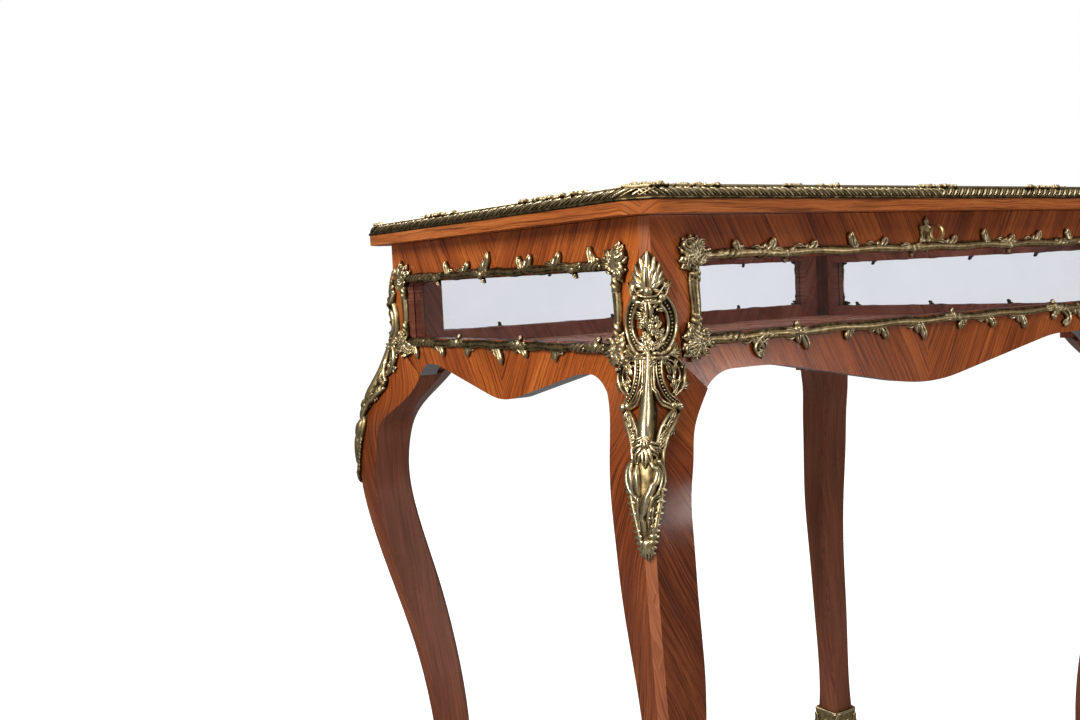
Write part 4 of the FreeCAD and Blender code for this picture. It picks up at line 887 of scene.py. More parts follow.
def cartouche(brass):
    """The collar and the oval ring, beaded inside and filled with flowers."""
    brass.plate([(690, -10, 14, 3.6), (684, -13, 17, 4.2), (676, -12, 16, 4)], tone=0.3)
    for sign in (-1, 1):
        brass.stroke([(2, 679.5, 3.6, 7, 1.5), (MID + sign * 7, 680, 3.8, 7.4, 1),
                      (MID + sign * 13, 684, 3.8, 7, 0.8), (MID + sign * 18, 690, 3.0, 5.4, 0.5),
                      (MID + sign * 23, 694.5, 1.0, 2.4, 1)], "scroll", 5)
        brass.ball(MID + sign * 12, 681, 4.0, 6)
        brass.ball(MID + sign * 9.5, 677.5, 2.6, 6)
        brass.fan(MID + sign * 15, 688, 8, 3, sign * 20, sign * 75, 2.0, 3.2, 2.2)
    brass.moulded_ring(MID, RING_Z, RING_WIDE, RING_TALL, [
        (6.6, 0.2, 0.1), (6.3, 3.6, 0.6), (5.2, 5.6, 1.0), (3.9, 5.4, 0.85), (3.0, 3.0, 0.1),
        (0.0, 1.9, 0.0), (-2.6, 3.0, 0.05), (-3.2, 5.6, 0.75), (-4.5, 6.6, 1.0),
        (-5.8, 5.4, 0.7), (-6.5, 2.5, 0.2), (-6.7, 0.2, 0.0)])
    row(brass, [(MID + RING_WIDE * math.sin(t), RING_Z + RING_TALL * math.cos(t))
                for t in np.linspace(0.1, 2 * math.pi - 0.1, 34)], BEAD, step=3.1,
        lift=2.0)
    brass.plate([(684, -6, 10, 3.5), (672, -7, 12, 4), (662, -5, 12, 4.4), (650, -7, 12, 4.4),
                 (634, -8, 12, 4)], tone=0.12, ripple=0.5)
    brass.stroke([(1, 678, 3, 6, 2), (2, 671, 4, 7.4, 2.4), (2.5, 665, 2.5, 6, 2.4)], "leaf", 4)
    for s, z, radius, petals in ((-4, 661, 5.6, 6), (6.5, 664, 5.2, 5), (8, 652, 5.2, 6),
                                 (-2.5, 648, 6.2, 6), (4, 657, 4.8, 5), (5, 642, 5.6, 6)):
        brass.rosette(s, z, radius, petals, 5.0, s * 9)
    brass.foliage([(677, -9, 13), (660, -9, 14), (645, -10, 15), (637, -9, 14)], count=34,
                  seed=7, reach=8, lift=4.4)


def arms(brass):
    """What leaves the cartouche on both sides: leaves, beaded ropes and outer scrolls."""
    for sign in (-1, 1):
        # the lobed leaf that hooks up beside the ring
        brass.stroke([(MID + sign * 3, 634, 3.4, 6.4, 1.5), (MID + sign * 12, 633.5, 4.2, 7, 1.5),
                      (MID + sign * 20, 637, 3.8, 6, 1), (MID + sign * 27, 643.5, 1.2, 2.4, 1)],
                     "leaf", 5, lobes=3, notch=0.22)
        brass.fan(MID + sign * 21, 635, 12, 4, sign * 50, sign * 130, 2.3, 3.6, 1.6)
        brass.fan(MID + sign * 10, 633, 9, 3, sign * 120, sign * 170, 2.0, 3.0, 2.4)
        # the beaded rope that swings outwards, ending in two balls
        rope = [(sign * 10, 636), (sign * 9.5, 624), (sign * 11.5, 613), (sign * 16, 604),
                (sign * 22, 598), (sign * 29, 593)]
        brass.stroke([(s, z, 3.3, 4.6, 1.2) for s, z in rope], "scroll", 5)
        row(brass, rope, BEAD, step=2.7, size=0.9, lift=4.6)
        brass.ball(sign * 29.5, 591.5, 4.2, 4.2)
        brass.ball(sign * 24, 593, 3.4, 4.6)
        # the outer scroll, a thinner one inside it and leaves on its back
        brass.stroke([(sign * 13, 631, 1.6, 3.4, 1), (sign * 22, 631.5, 3.0, 5, 0.8),
                      (sign * 31, 625, 3.4, 5.4, 0.6), (sign * 34, 616, 3.4, 5.4, 0.5),
                      (sign * 31, 607, 3.0, 5, 0.5), (sign * 24, 601, 2.0, 4, 0.5)], "scroll", 5)
        brass.stroke([(sign * 17, 626, 1.6, 3), (sign * 23, 624, 1.9, 4),
                      (sign * 25.5, 616, 1.9, 4), (sign * 22, 608, 1.4, 3)], "round", 5)
        brass.fan(sign * 34, 607, 9, 3, sign * 30, sign * 110, 2.0, 3.0, 1.2)
        brass.fan(sign * 34, 620, 7, 3, sign * 10, sign * 70, 1.8, 2.6, 1.2)
        # the long leaf between the stalk and the rope
        brass.stroke([(sign * 4.5, 634, 1.8, 5, 1), (sign * 5, 620, 2.0, 5.4, 1),
                      (sign * 6, 608, 2.2, 5.4, 1), (sign * 11, 598, 2.6, 5.4, 1),
                      (sign * 19, 593.5, 3.0, 5.2, 1), (sign * 27, 590, 2.0, 4, 1)], "leaf", 5)
        brass.foliage([(627, sign * 17, sign * 30), (614, sign * 19, sign * 32),
                       (603, sign * 19, sign * 30)], count=11, seed=17, reach=7.5, lift=2.2)


def lower_scrolls(brass):
    """The leafy scrolls that come in towards the foot of the stalk."""
    for sign in (-1, 1):
        brass.stroke([(sign * 29, 589, 3.4, 5), (sign * 22, 583, 5.6, 6.8, 0.8),
                      (sign * 15.5, 575, 5.6, 6.8, 0.8), (sign * 12, 566, 4.8, 6.4, 0.6),
                      (sign * 11.5, 556, 4.0, 5.6, 0.6), (sign * 14, 549, 2.2, 4)], "scroll", 5)
        brass.foliage([(587, sign * 14, sign * 27), (575, sign * 9, sign * 20),
                       (562, sign * 8, sign * 15)], count=11, seed=31, reach=8, lift=4.2,
                      height=3.6, droop=180)
        brass.fan(sign * 20, 577, 10, 4, sign * 85, sign * 165, 2.0, 3.0, 1.0)
        brass.fan(sign * 16, 567, 7, 2, sign * 110, sign * 160, 1.7, 2.6, 1.0)


def stalk(brass):
    """The swelling stalk down the middle, with a cup of leaves at its foot."""
    brass.foliage([(633, -5, 6), (622, -5, 6), (606, -5, 5)], count=13, seed=21, reach=8,
                  lift=4.5, height=3.6, droop=180)
    brass.plate([(637, -7, 8, 3), (622, -5, 6, 3.5), (606, -5, 5, 4), (590, -10, 9, 4),
                 (575, -11, 8, 4), (560, -12, 7, 4)], tone=0.12)
    brass.stroke([(0, 637, 2.6, 6.4, 1.5), (0, 622, 3.2, 8, 1.5), (-1, 606, 4.4, 9.4, 1.2),
                  (-1.5, 592, 6.2, 11, 1), (-2.5, 579, 7.2, 11.6, 0.8), (-3, 568, 6.2, 9.6),
                  (-3, 559, 5.4, 6)], "round", 6)
    brass.fan(-3, 568, 20, 7, 108, 252, 3.7, 5.6, 3.0)
    brass.fan(-3, 572, 11, 4, 130, 230, 2.6, 4.2, 7.5)


def shield(brass):
    """The rippled shield and its tail, edged with gadroons."""
    brass.plate([(556, -20, 13, 3), (548, -23, 16, 3.4), (537, -23, 16, 3.4), (527, -20, 13, 3.2),
                 (512, -16, 9, 3), (498, -12, 6, 2.8), (486, -9, 4, 2.4), (478, -6, 2, 1.4)],
                tone=0.45, ripple=0.3)
    # the rolled edges of the shield, then the lobes and the folds on it
    brass.stroke([(-15, 554, 2.6, 5), (-22, 547, 3.0, 5.4), (-23.5, 537, 3.0, 5.4),
                  (-19, 529, 2.8, 5), (-12, 525, 1.8, 4)], "round", 5)
    brass.stroke([(10, 554, 2.4, 5), (15, 547, 2.6, 5), (16, 538, 2.4, 4.8),
                  (12.5, 529, 1.6, 3.4)], "round", 5)
    for s in (-17, -9.5):
        brass.stroke([(s, 551, 2.0, 4, 1.5), (s - 0.6, 544, 3.7, 7, 1.5),
                      (s - 0.3, 535, 3.7, 7, 1.5), (s + 2, 528, 1.6, 4, 1)], "round", 5)
    brass.stroke([(4, 553, 2.0, 5.4, 2), (8.5, 545, 3.3, 7, 2), (5.5, 535, 3.5, 7.6, 2),
                  (-2.0, 525, 3.7, 7.4, 1.8), (-6.5, 513, 3.6, 6.8, 1.4),
                  (-5.0, 501, 2.4, 4.6, 1.2)], "round", 7)
    brass.stroke([(9, 550, 1.0, 4, 2), (13, 543, 1.5, 5.4, 2), (11, 534, 1.6, 5.6, 2),
                  (4, 524, 1.6, 5.4, 1.8), (-0.5, 513, 1.5, 5, 1.4), (0, 503, 1.0, 3.4, 1.2)],
                 "round", 7)
    for sign, line in ((-1, [(-22, 530), (-19, 517), (-15.5, 504), (-12, 493), (-8.5, 483)]),
                       (1, [(15.5, 532), (12.5, 518), (9, 505), (6, 494), (3, 484)])):
        # A glow of 0.8 dims the painted highlight and shade on these rolls.
        brass.stroke([(s - sign * 2, z, 2.6, 4.4) for s, z in line], "round", 4, glow=0.8)
        row(brass, [(s - sign * 1.2, z) for s, z in line], GADROONS[sign], step=4.3,
            size=1.7, lift=1.6, unevenness=0.2, seed=4)
    brass.stroke([(-10, 526, 2.2, 4.6, 1), (-11, 514, 2.4, 4.8, 1), (-8.5, 500, 1.4, 3.6, 1)],
                 "round", 5)
    brass.foliage([(527, -4, 12), (512, -2, 9), (500, -5, 5)], count=8, seed=5, reach=7,
                  lift=3.0)
    brass.fan(-3, 494, 17, 5, 150, 212, 3.2, 4.6, 1.4)


def knee_mount(corner):
    """The pierced corner mount, from its head down to its tail."""
    brass = Relief(corner_lay(corner))
    for part in (palmette, cartouche, arms, lower_scrolls, stalk, shield):
        part(brass)
    return brass.build(f"chased_mount_{corner}", "case", [f"knee_mount_{corner}"])


# ------------------------------------------------------------------ window frames
# Half the length to the posts, half a post's width, and the heights of the two rails.
WINDOWS = {
    "front": {"reach": 294.0, "post": 5.5, "top": 714.6, "bottom": 643.4},
    "side": {"reach": 189.5, "post": 4.5, "top": 709.6, "bottom": 638.9},
}
# Where sprigs leave each rail, as a share of its half length, and how far they rise.
SPRIGS = {
    "front": {"top": [(-0.86, 12), (-0.707, 13), (-0.53, 10), (-0.37, 16), (-0.21, 11),
                      (0.14, 11), (0.3, 16), (0.46, 10), (0.62, 13), (0.79, 14)],
              "bottom": [(-0.76, 13), (-0.58, 17), (-0.4, 12), (-0.22, 15), (-0.03, 19),
                         (0.16, 12), (0.34, 14), (0.52, 18), (0.7, 12), (0.87, 14)]},
    "side": {"top": [(-0.508, 15), (-0.27, 13), (-0.058, 21), (0.238, 14), (0.338, 15),
                     (0.587, 15), (0.835, 17)],
             "bottom": [(-0.902, 18), (-0.59, 14), (-0.32, 13), (0.024, 19), (0.262, 11),
                        (0.516, 13)]},
}
# Where the rails have knots.
KNOTS = {"front": {"top": (-0.66, -0.08, 0.44), "bottom": (-0.62, 0.12, 0.7)},
         "side": {"top": (-0.13, 0.7, -0.62), "bottom": (0.2, -0.42, 0.86)}}


def face_lay(face):
    """How a window frame's pattern lies on a side of the case: s is 0 at its middle."""
    (ax, ay), (nx, ny), depth = FACES[face]
    surface = tree_of([f"frieze_{face}"] + [f"leg_{corner}" for corner in CORNERS
                                            if face in corner])
    outward = Vector((nx, ny, 0))

    def lay(s, z):
        plane = Vector((ax * s + nx * depth, ay * s + ny * depth, z))
        spot = surface.ray_cast(plane + outward * 60, -outward)[0]
        if spot is None or (spot - plane).dot(outward) < 0:
            spot = plane
        return np.array(spot), np.array(outward)

    return lay


def rail(brass, kind, level, way, proud):
    """One twig rail, wrapped with bands near both ends; way is 1 for the top and -1 below."""
    size = WINDOWS[kind]
    reach = size["reach"]
    half = reach + size["post"]
    # The glow dims the rail's painted highlight and shade, more on the sides than on the front
    # and back.
    brass.stroke([(share * half, level + 0.7 * math.sin(share * 23 + way),
                   4.3 + 0.5 * math.sin(share * 31 + 2 * way),
                   (6.0 + 0.5 * math.sin(share * 17)) * proud)
                  for share in np.linspace(-1, 1, 41)],
                 "twig", 3, glow=0.5 if kind == "side" else 0.75)
    for sign in (-1, 1):
        for start, length in ((0.93, 26), (0.78, 20)):
            s = sign * start * reach
            brass.stroke([(s, level, 4.4, 5.8 * proud),
                          (s - sign * length / 2, level, 5.0, 6.6 * proud),
                          (s - sign * length, level, 4.4, 5.8 * proud)], "round", 10,
                         twist=length / 7.0)


def knot(brass, s, level, way, proud):
    """A knot on a rail: two swellings, leaves along it and a bud towards the outside."""
    brass.ball(s, level - way * 1.5, 5.2, 2.2 * proud, 0.95 * proud)
    brass.ball(s + 6, level + 0.5, 3.8, 2.6 * proud, proud)
    brass.fan(s - 2, level, 15, 3, -95, -70, 2.2, 3.4 * proud, 3.0 * proud)
    brass.fan(s + 3, level, 13, 3, 70, 100, 2.0, 3.2 * proud, 3.0 * proud)
    brass.stroke([(s, level - way * 3, 1.5, 3 * proud),
                  (s + 1, level - way * 7.5, 2.2, 3.4 * proud),
                  (s + 3, level - way * 9, 1, 1.6)], "leaf", 4)


def sprig(brass, s, level, way, rise, lean, proud):
    """A sprig of three leaves; the lean says to which side it grows, and how much."""
    tall = rise * way
    brass.stroke([(s + lean * 10, level, 3.0, 5.6 * proud),
                  (s + lean * 4, level + tall * 0.3, 3.3, 5.4 * proud),
                  (s + lean * 0.6, level + tall * 0.7, 3.9, 5.2 * proud, 0.5),
                  (s, level + tall, 1.3, 2.4, 1.2)], "leaf", 5)
    brass.stroke([(s + lean * 12, level, 2.6, 5 * proud),
                  (s + lean * 10.5, level + tall * 0.36, 3.3, 4.8 * proud),
                  (s + lean * 8, level + tall * 0.62, 1.0, 2, 1.0)], "leaf", 4)
    brass.stroke([(s + lean * 13, level + way * 2, 1.8, 3.4 * proud),
                  (s + lean * 19, level + way * 5, 2.6, 3.8 * proud),
                  (s + lean * 24, level + way * 4.4, 0.8, 1.6)], "leaf", 4)


def hanging_scroll(brass, s, level, sign, proud):
    """A scroll under the bottom rail of the long sides, with a few leaves."""
    brass.stroke([(s - sign * 16, level, 3.0, 5.6 * proud),
                  (s - sign * 6, level - 4, 3.4, 5.6 * proud), (s, level - 11, 3.2, 5 * proud),
                  (s - sign * 4, level - 17, 2.8, 4.4 * proud),
                  (s - sign * 9, level - 15.5, 1.2, 2.6)], "scroll", 5)
    brass.fan(s - sign * 5, level - 13, 8, 3, sign * 150, sign * 230, 1.8, 3, 1.5)


def reeded_post(brass, s, bottom, top, post, proud):
    """One upright of a window frame, bound near both ends."""
    brass.stroke([(s + 0.6 * math.sin(z / 7), z, post * (0.92 + 0.1 * math.sin(z / 9)),
                   6.2 * proud) for z in np.linspace(bottom, top, 12)], "reed", 3)
    for start, length in ((bottom + 8, 15), (top - 24, 14)):
        brass.stroke([(s, start, post * 0.9, 5.8 * proud),
                      (s, start + length / 2, post * 1.12, 7 * proud),
                      (s, start + length, post * 0.9, 5.8 * proud)], "round", 8,
                     twist=length / 6.0)


def window_frame(face):
    """Twig rails with knots and sprigs, reeded posts and leafy corners."""
    kind = "front" if face in ("front", "back") else "side"
    size = WINDOWS[kind]
    reach, post, top, bottom = size["reach"], size["post"], size["top"], size["bottom"]
    proud = 0.6 if face == "back" else 1.0
    brass = Relief(face_lay(face))
    for name, way in (("top", 1), ("bottom", -1)):
        level = size[name]
        rail(brass, kind, level, way, proud)
        for share in KNOTS[kind][name]:
            knot(brass, share * reach, level, way, proud)
        for number, (share, rise) in enumerate(SPRIGS[kind][name]):
            lean = -1.0 if (number + (way < 0)) % 3 else 0.5
            sprig(brass, share * reach, level, way, rise, lean, proud)
    if kind == "front":
        for sign in (-1, 1):
            hanging_scroll(brass, sign * 0.79 * reach, bottom, sign, proud)
    for sign in (-1, 1):
        s = sign * (reach + post)
        reeded_post(brass, s, bottom, top, post, proud)
        for level, way in ((top, 1), (bottom, -1)):
            corner_spray(brass, s, level, sign, way, proud)
    return brass.build(f"twig_frame_{face}", "case", [f"window_frame_{face}"])


def corner_spray(brass, s, level, sign, way, proud):
    """A spray over the corner of a window frame: lobed leaves, hooked ones and foliage."""
    chance = np.random.default_rng(int(abs(s) + level) % 97)
    for turn, reach, width in ((45, 20, 4.4), (15, 19, 4.0), (75, 18, 4.0), (-12, 15, 3.6),
                               (104, 16, 3.6), (140, 17, 3.4), (-40, 17, 3.4), (190, 12, 3.2),
                               (165, 13, 3.0), (-75, 20, 3.0)):
        out, rise = turn_way(turn + chance.uniform(-7, 7))
        ds, dz = sign * out, way * rise
        reach *= chance.uniform(0.9, 1.1)
        bend = chance.uniform(-2.5, 2.5)
        brass.stroke([(s, level, width * 0.6, 6.4 * proud, 1.2),
                      (s + ds * reach * 0.35, level + dz * reach * 0.35, width, 7 * proud, 0.8),
                      (s + ds * reach * 0.72 + dz * bend * 0.4,
                       level + dz * reach * 0.72 - ds * bend * 0.4, width * 1.05, 5.2 * proud,
                       0.8),
                      (s + ds * reach + dz * bend, level + dz * reach - ds * bend, 0.7, 2.2,
                       1.8)], "leaf", 5, lobes=3, notch=0.28)
    for turn, reach, hook in ((28, 13, 1), (66, 14, -1), (98, 11, 1), (-22, 12, -1),
                              (130, 12, 1), (50, 8, 1)):
        angle = math.radians(turn + chance.uniform(-8, 8))
        bend = angle + hook * 1.1
        ds, dz = sign * math.sin(angle), way * math.cos(angle)
        es, ez = sign * math.sin(bend), way * math.cos(bend)
        brass.stroke([(s, level, 1.6, 6 * proud, 2.5),
                      (s + ds * reach * 0.5, level + dz * reach * 0.5, 2.6, 5.6 * proud, 3.2),
                      (s + ds * reach, level + dz * reach, 2.2, 4.4 * proud, 3.6),
                      (s + ds * reach + es * 4, level + dz * reach + ez * 4, 1.6, 4 * proud,
                       3.4),
                      (s + ds * reach * 0.9 + es * 6.5, level + dz * reach * 0.9 + ez * 6.5, 0.5,
                       1.6, 3.0)], "leaf", 4)
    brass.foliage([(level - 8, s - 9, s + 9), (level, s - 11, s + 11), (level + 8, s - 9, s + 9)],
                  count=20, seed=int(level), reach=7, lift=5.2 * proud, height=3.2 * proud)


# ------------------------------------------------------------------ lid
def lid_outline(offset):
    """Points round the canted lid at an offset outwards from its wood, with eased corners."""
    bend = 6
    cant = LID_CANT + (2 - math.sqrt(2)) * offset
    x, y = LID_X + offset, LID_Y + offset
    corners = [(-x, -y + cant), (-x + cant, -y), (x - cant, -y), (x, -y + cant),
               (x, y - cant), (x - cant, y), (-x + cant, y), (-x, y - cant)]
    points = []
    for index, corner in enumerate(corners):
        here = np.array(corner)
        before = np.array(corners[index - 1])
        after = np.array(corners[(index + 1) % 8])
        first = (before - here) / np.linalg.norm(before - here)
        last = (after - here) / np.linalg.norm(after - here)
        for t in np.linspace(0, 1, 5):
            points.append(here + first * bend * (1 - t) ** 2 + last * bend * t ** 2)
    return np.array(points)


def border_run(sx, sy, long_side):
    """A path from the middle of a side to the middle of a canted corner, and its ways up."""
    x, y = LID_X - LEAF_INSET, LID_Y - LEAF_INSET
    ends = [(sx * (x - LID_CANT), sy * y), (sx * x, sy * (y - LID_CANT))]
    if long_side:
        start, flat_way = (2.0, sy * y), (0.0, sy)
    else:
        start, flat_way, ends = (sx * x, 2.0 * sy), (sx, 0.0), ends[::-1]
    start, flat_way, (bend, other) = np.array(start), np.array(flat_way), np.array(ends)
    stop = bend + (other - bend) * 0.46
    corner_way = np.array((sx, sy)) / math.sqrt(2)
    near = bend + (start - bend) / np.linalg.norm(start - bend) * 7
    spots = [start + (near - start) * t for t in np.linspace(0, 1, 24)]
    ways = [flat_way] * len(spots)
    for t in (0.25, 0.5, 0.75, 1.0):
        first = near + (bend - near) * t
        last = bend + (stop - bend) * t
        spots.append(first + (last - first) * t)
        ways.append(flat_way * (1 - t) + corner_way * t)
    return [(*spot, LEAF_Z) for spot in spots], [(*(way * 0.85), 0.53) for way in ways]


def border_leaf(length):
    """The shape to repeat for the border: a leaf with a smaller one over its tip."""
    # The smaller leaf's glow of 0.7 dims its painted highlight and shade.
    parts = ((0, 1.0, 1.0), (length * 0.4, 0.62, 0.7))    # offset, share of the size, glow

    def draw(shape):
        for offset, width, glow in parts:
            shape.stroke([(offset - length * 0.42, -4.4, 0.7 * width, 0.8),
                          (offset - length * 0.14, -1.8, 1.3 * width, 2.2 * width, 0.1),
                          (offset + length * 0.18, 1.0, 1.45 * width, 2.4 * width, 0.2),
                          (offset + length * 0.44, 3.6, 0.5, 0.8)], "round", 3, glow=glow)

    return template(draw)


def border_moulding(brass):
    """The moulding under the leaves, all round the lid."""
    # Rows of (offset, height, tone); the tone is painted highlight on the crest and painted shade
    # below it.
    section = [(1.1, 759.5, 0.1), (1.5, 761.0, 0.35), (0.7, 761.9, 0.0), (-0.8, 763.2, 0.0),
               (-2.4, 765.8, 0.0), (-3.8, 768.4, 0.0), (-4.6, 770.2, 0.4), (-5.8, 771.6, 1.0),
               (-7.6, 772.0, 0.8), (-9.6, 771.2, 0.3), (-11.6, 769.4, 0.1), (-13.5, 768.2, 0.1),
               (-13.8, 767.2, 0), (-8.6, 767.1, 0), (-0.4, 759.3, 0)]
    offsets, heights, tones = zip(*section)    # offsets outwards from the wood
    rings = [lid_outline(offset) for offset in offsets]
    count, ring = len(rings[0]), len(section)
    spots = [(*rings[j][i], heights[j]) for i in range(count) for j in range(ring)]
    faces = [(i * ring + j, i * ring + (j + 1) % ring,
              (i + 1) % count * ring + (j + 1) % ring, (i + 1) % count * ring + j)
             for i in range(count) for j in range(ring)]
    brass.add(spots, faces, tones * count)


def border_leaves(brass):
    """Overlapping leaves along each side that lean to the corners."""
    for sx in (-1, 1):
        back, front = border_run(sx, 1, False), border_run(sx, -1, False)
        runs = [(back[0][::-1] + front[0][1:], back[1][::-1] + front[1][1:], 15.0, sx > 0)]
        runs += [(*border_run(sx, sy, True), 9.0, sx * sy > 0) for sy in (-1, 1)]
        for points, ups, pitch, turn in runs:
            leaf = border_leaf(pitch * 1.2)
            if turn:
                leaf = mirrored(leaf)
            brass.add(*repeat(path_through(points, ups), leaf, pitch, 1.0, 0.08, 3))


def border_crest():
    """Foliage scattered on top of the border: most of it at the middles and the corners."""
    crest = Relief(level_lay(CREST_Z))
    for sign in (-1, 1):
        s = sign * (LID_X - 8)
        for first, last, count in ((38, 124, 24), (-132, -78, 15), (-176, -146, 9)):
            crest.foliage([(first, s - 4, s + 4), (last, s - 4, s + 4)], count,
                          seed=40 + count, reach=7, lift=0.6, height=4.0)
        chance = np.random.default_rng(11)
        for middle in (-318, -172, 0, 172, 318):
            for _ in range(14):
                x = middle + chance.uniform(-34, 34)
                z = sign * (LID_Y - 8) + chance.uniform(-3, 3)
                turn = chance.uniform(0, 360)
                crest.fan(x, z, chance.uniform(6, 9), 2, turn, turn + 60, 2.0,
                          chance.uniform(2.6, 4.4), 0.4)
        for way in (-1, 1):
            for share in np.linspace(-1, 1, 9):
                x = sign * (LID_X - 18 + 10 * share)
                z = way * (LID_Y - 18 - 10 * share)
                turn = chance.uniform(0, 360)
                crest.fan(x, z, 6.5, 3, turn, turn + 120, 2.2, chance.uniform(3.4, 5.4), 0.6)
    return np.vstack(crest.spots), crest.faces, crest.tones


def lid_border():
    """The brass border of the lid."""
    brass = Relief(level_lay(0.0))
    border_moulding(brass)
    border_leaves(brass)
    brass.add(*border_crest())
    return brass.build("leaf_border", "lid", [f"lid_border_{face}" for face in FACES])


def mirrored(leaf):
    """The same leaf, turned to lean the other way."""
    twin = in_scene("pattern", leaf.data.copy())
    PATTERNS.append(twin)
    for vertex in twin.data.vertices:
        vertex.co.y = -vertex.co.y
    twin.data.flip_normals()
    return twin


def square(x, y):
    """The corners of a rectangle, in order round it."""
    return [(-x, -y), (x, -y), (x, y), (-x, y)]


def reeded_rods(brass):
    """Four reeded rods round the pane."""
    corners = square(FRAME_X, FRAME_Y)
    for (x0, y0), (x1, y1) in zip(corners, corners[1:] + corners[:1]):
        brass.stroke([(x0 + (x1 - x0) * t, y0 + (y1 - y0) * t,
                       4.4 + 0.4 * math.sin(40 * t), 7.4 + 0.5 * math.sin(27 * t))
                      for t in np.linspace(0, 1, 45)], "reed", 2)


def leafy_middle(brass, s, z, along):
    """A flower at the middle of a rod, with overlapping leaves to both sides of it."""
    for sign in (-1, 1):
        for number in range(4):
            start = sign * (2 + number * 8)
            end = sign * (14 + number * 8)
            side = 2.4 * (-1) ** number
            brass.stroke([(s + along[0] * start, z + along[1] * start, 2.2, 7.0),
                          (s + along[0] * (start + end) / 2 + along[1] * side,
                           z + along[1] * (start + end) / 2 + along[0] * side, 3.4, 8.8),
                          (s + along[0] * end + along[1] * side * 1.8,
                           z + along[1] * end + along[0] * side * 1.8, 0.8, 5.5)],
                         "leaf", 5)
    brass.ball(s, z, 4.2, 5.6)
    brass.rosette(s, z, 7.5, 6, 5.2)


def leafy_corner(brass, cx, cy, sx, sy):
    """Foliage over one corner of the lid's brass frame."""
    for turn, reach, width, height in ((0, 30, 3.8, 9), (90, 30, 3.8, 9), (20, 20, 3.4, 9.5),
                                       (70, 20, 3.4, 9.5), (45, 15, 3.6, 9.5),
                                       (-30, 11, 2.8, 9), (120, 11, 2.8, 9),
                                       (225, 12, 3.2, 9)):
        sine, cosine = turn_way(turn)
        brass.leaf(cx, cy, (-sx * cosine, -sy * sine), [
            (0.0, width * 0.6, height * 0.8), (reach * 0.4, width, height),
            (reach * 0.75, width * 0.9, height * 0.85), (reach, 0.8, height * 0.5)], 5,
                   lobes=3, notch=0.2)
    brass.rosette(cx, cy, 8, 6, 5.4, 15)


def flat_frame(brass):
    """The flat frame under the rods, a square tube in four lengths."""
    spots = [(*corner, z) for x, y in ((FRAME_IN_X, FRAME_IN_Y), (FRAME_X, FRAME_Y))
             for corner in square(x, y) for z in (FRAME_BOTTOM, FRAME_FLAT)]
    faces = []
    for i in range(4):
        j = (i + 1) % 4
        a, b, c, d = 2 * i, 2 * j, 8 + 2 * i, 8 + 2 * j
        faces += [(a, a + 1, b + 1, b), (c, d, d + 1, c + 1), (a + 1, c + 1, d + 1, b + 1),
                  (a, b, d, c)]
    brass.add(spots, faces, [0.5] * len(spots))


def pane_frame():
    """The brass frame round the lid's pane, with leafy corners and middles."""
    brass = Relief(level_lay(LID_TOP))
    reeded_rods(brass)
    for sx in (-1, 1):
        for sy in (-1, 1):
            leafy_corner(brass, sx * FRAME_X, sy * FRAME_Y, sx, sy)
    for s, z, along in ((0, -FRAME_Y, (1, 0)), (0, FRAME_Y, (1, 0)),
                        (-FRAME_X, -20, (0, 1)), (FRAME_X, -20, (0, 1))):
        leafy_middle(brass, s, z, along)
    flat_frame(brass)
    return brass.build("pane_frame", "lid", ["lid_glass_frame"])


# ------------------------------------------------------------------ shoes and keyhole
def shoe_lay(corner):
    """How the shoe's pattern lies: s is the bearing round the foot in degrees."""
    sx, sy = CORNERS[corner]
    surface = tree_of([f"sabot_{corner}"])
    middle = Vector((sx * (HALF_X - 14), sy * (HALF_Y - 14), 0))

    def lay(s, z):
        sine, cosine = turn_way(45 - s)
        way = Vector((sx * cosine, sy * sine, 0))
        level = Vector((0, 0, min(max(z, 2.0), SHOE_TOP)))
        spot, normal = surface.ray_cast(middle + way * 90 + level, -way)[:2]
        spot.z = z
        return np.array(spot), np.array((normal + way * 0.4).normalized())

    return lay


def sabot(corner):
    """The foot's brass shoe: a plinth moulding, leaves all round and a rolled rim."""
    brass = Relief(shoe_lay(corner))
    for level, width, height in ((5.0, 2.8, 2.2), (10.5, 1.4, 2.8), (48.5, 1.5, 2.0),
                                 (51.0, 1.3, 2.8)):
        # Each moulding's tone rises to its crest: painted highlight there and painted shade at
        # its edges.
        brass.sheet([[(s, level + width * math.cos(t), height * math.sin(t),
                       0.2 + 0.75 * math.sin(t)) for t in np.linspace(0, math.pi, 6)]
                     for s in range(0, 360, 6)], wrap=True)
    for s in range(0, 360, 30):
        tall = 34 if s % 60 == 0 else 26
        brass.stroke([(s, 12, 2.4, 2.0), (s, 12 + tall * 0.4, 4.6, 3.0),
                      (s, 12 + tall * 0.8, 3.8, 2.4), (s, 12 + tall, 0.8, 1.2, 0.6)],
                     "leaf", 5, lobes=3, notch=0.18)
        brass.stroke([(s + 15, 13, 1.4, 1.4), (s + 15, 22, 2.2, 2.0), (s + 15, 29, 0.6, 0.8)],
                     "round", 4)
    return brass.build(f"sabot_leaves_{corner}", "case", [])


def scutcheon():
    """A small leafy surround for the keyhole."""
    brass = Relief(face_lay("front"))
    brass.stroke([(7.2 * math.sin(t), KEYHOLE_Z + 8.2 * math.cos(t), 1.6, 2.4)
                  for t in np.linspace(0, 2 * math.pi, 25)], "round", 2)
    for turn, reach in ((0, 9), (180, 10), (55, 6), (-55, 6), (125, 6), (-125, 6)):
        sine, cosine = turn_way(turn)
        brass.fan(7 * sine, KEYHOLE_Z + 8 * cosine, reach, 3, turn - 30, turn + 30, 1.6, 2.2,
                  0.6)
    return brass.build("keyhole_leaves", "case", [])


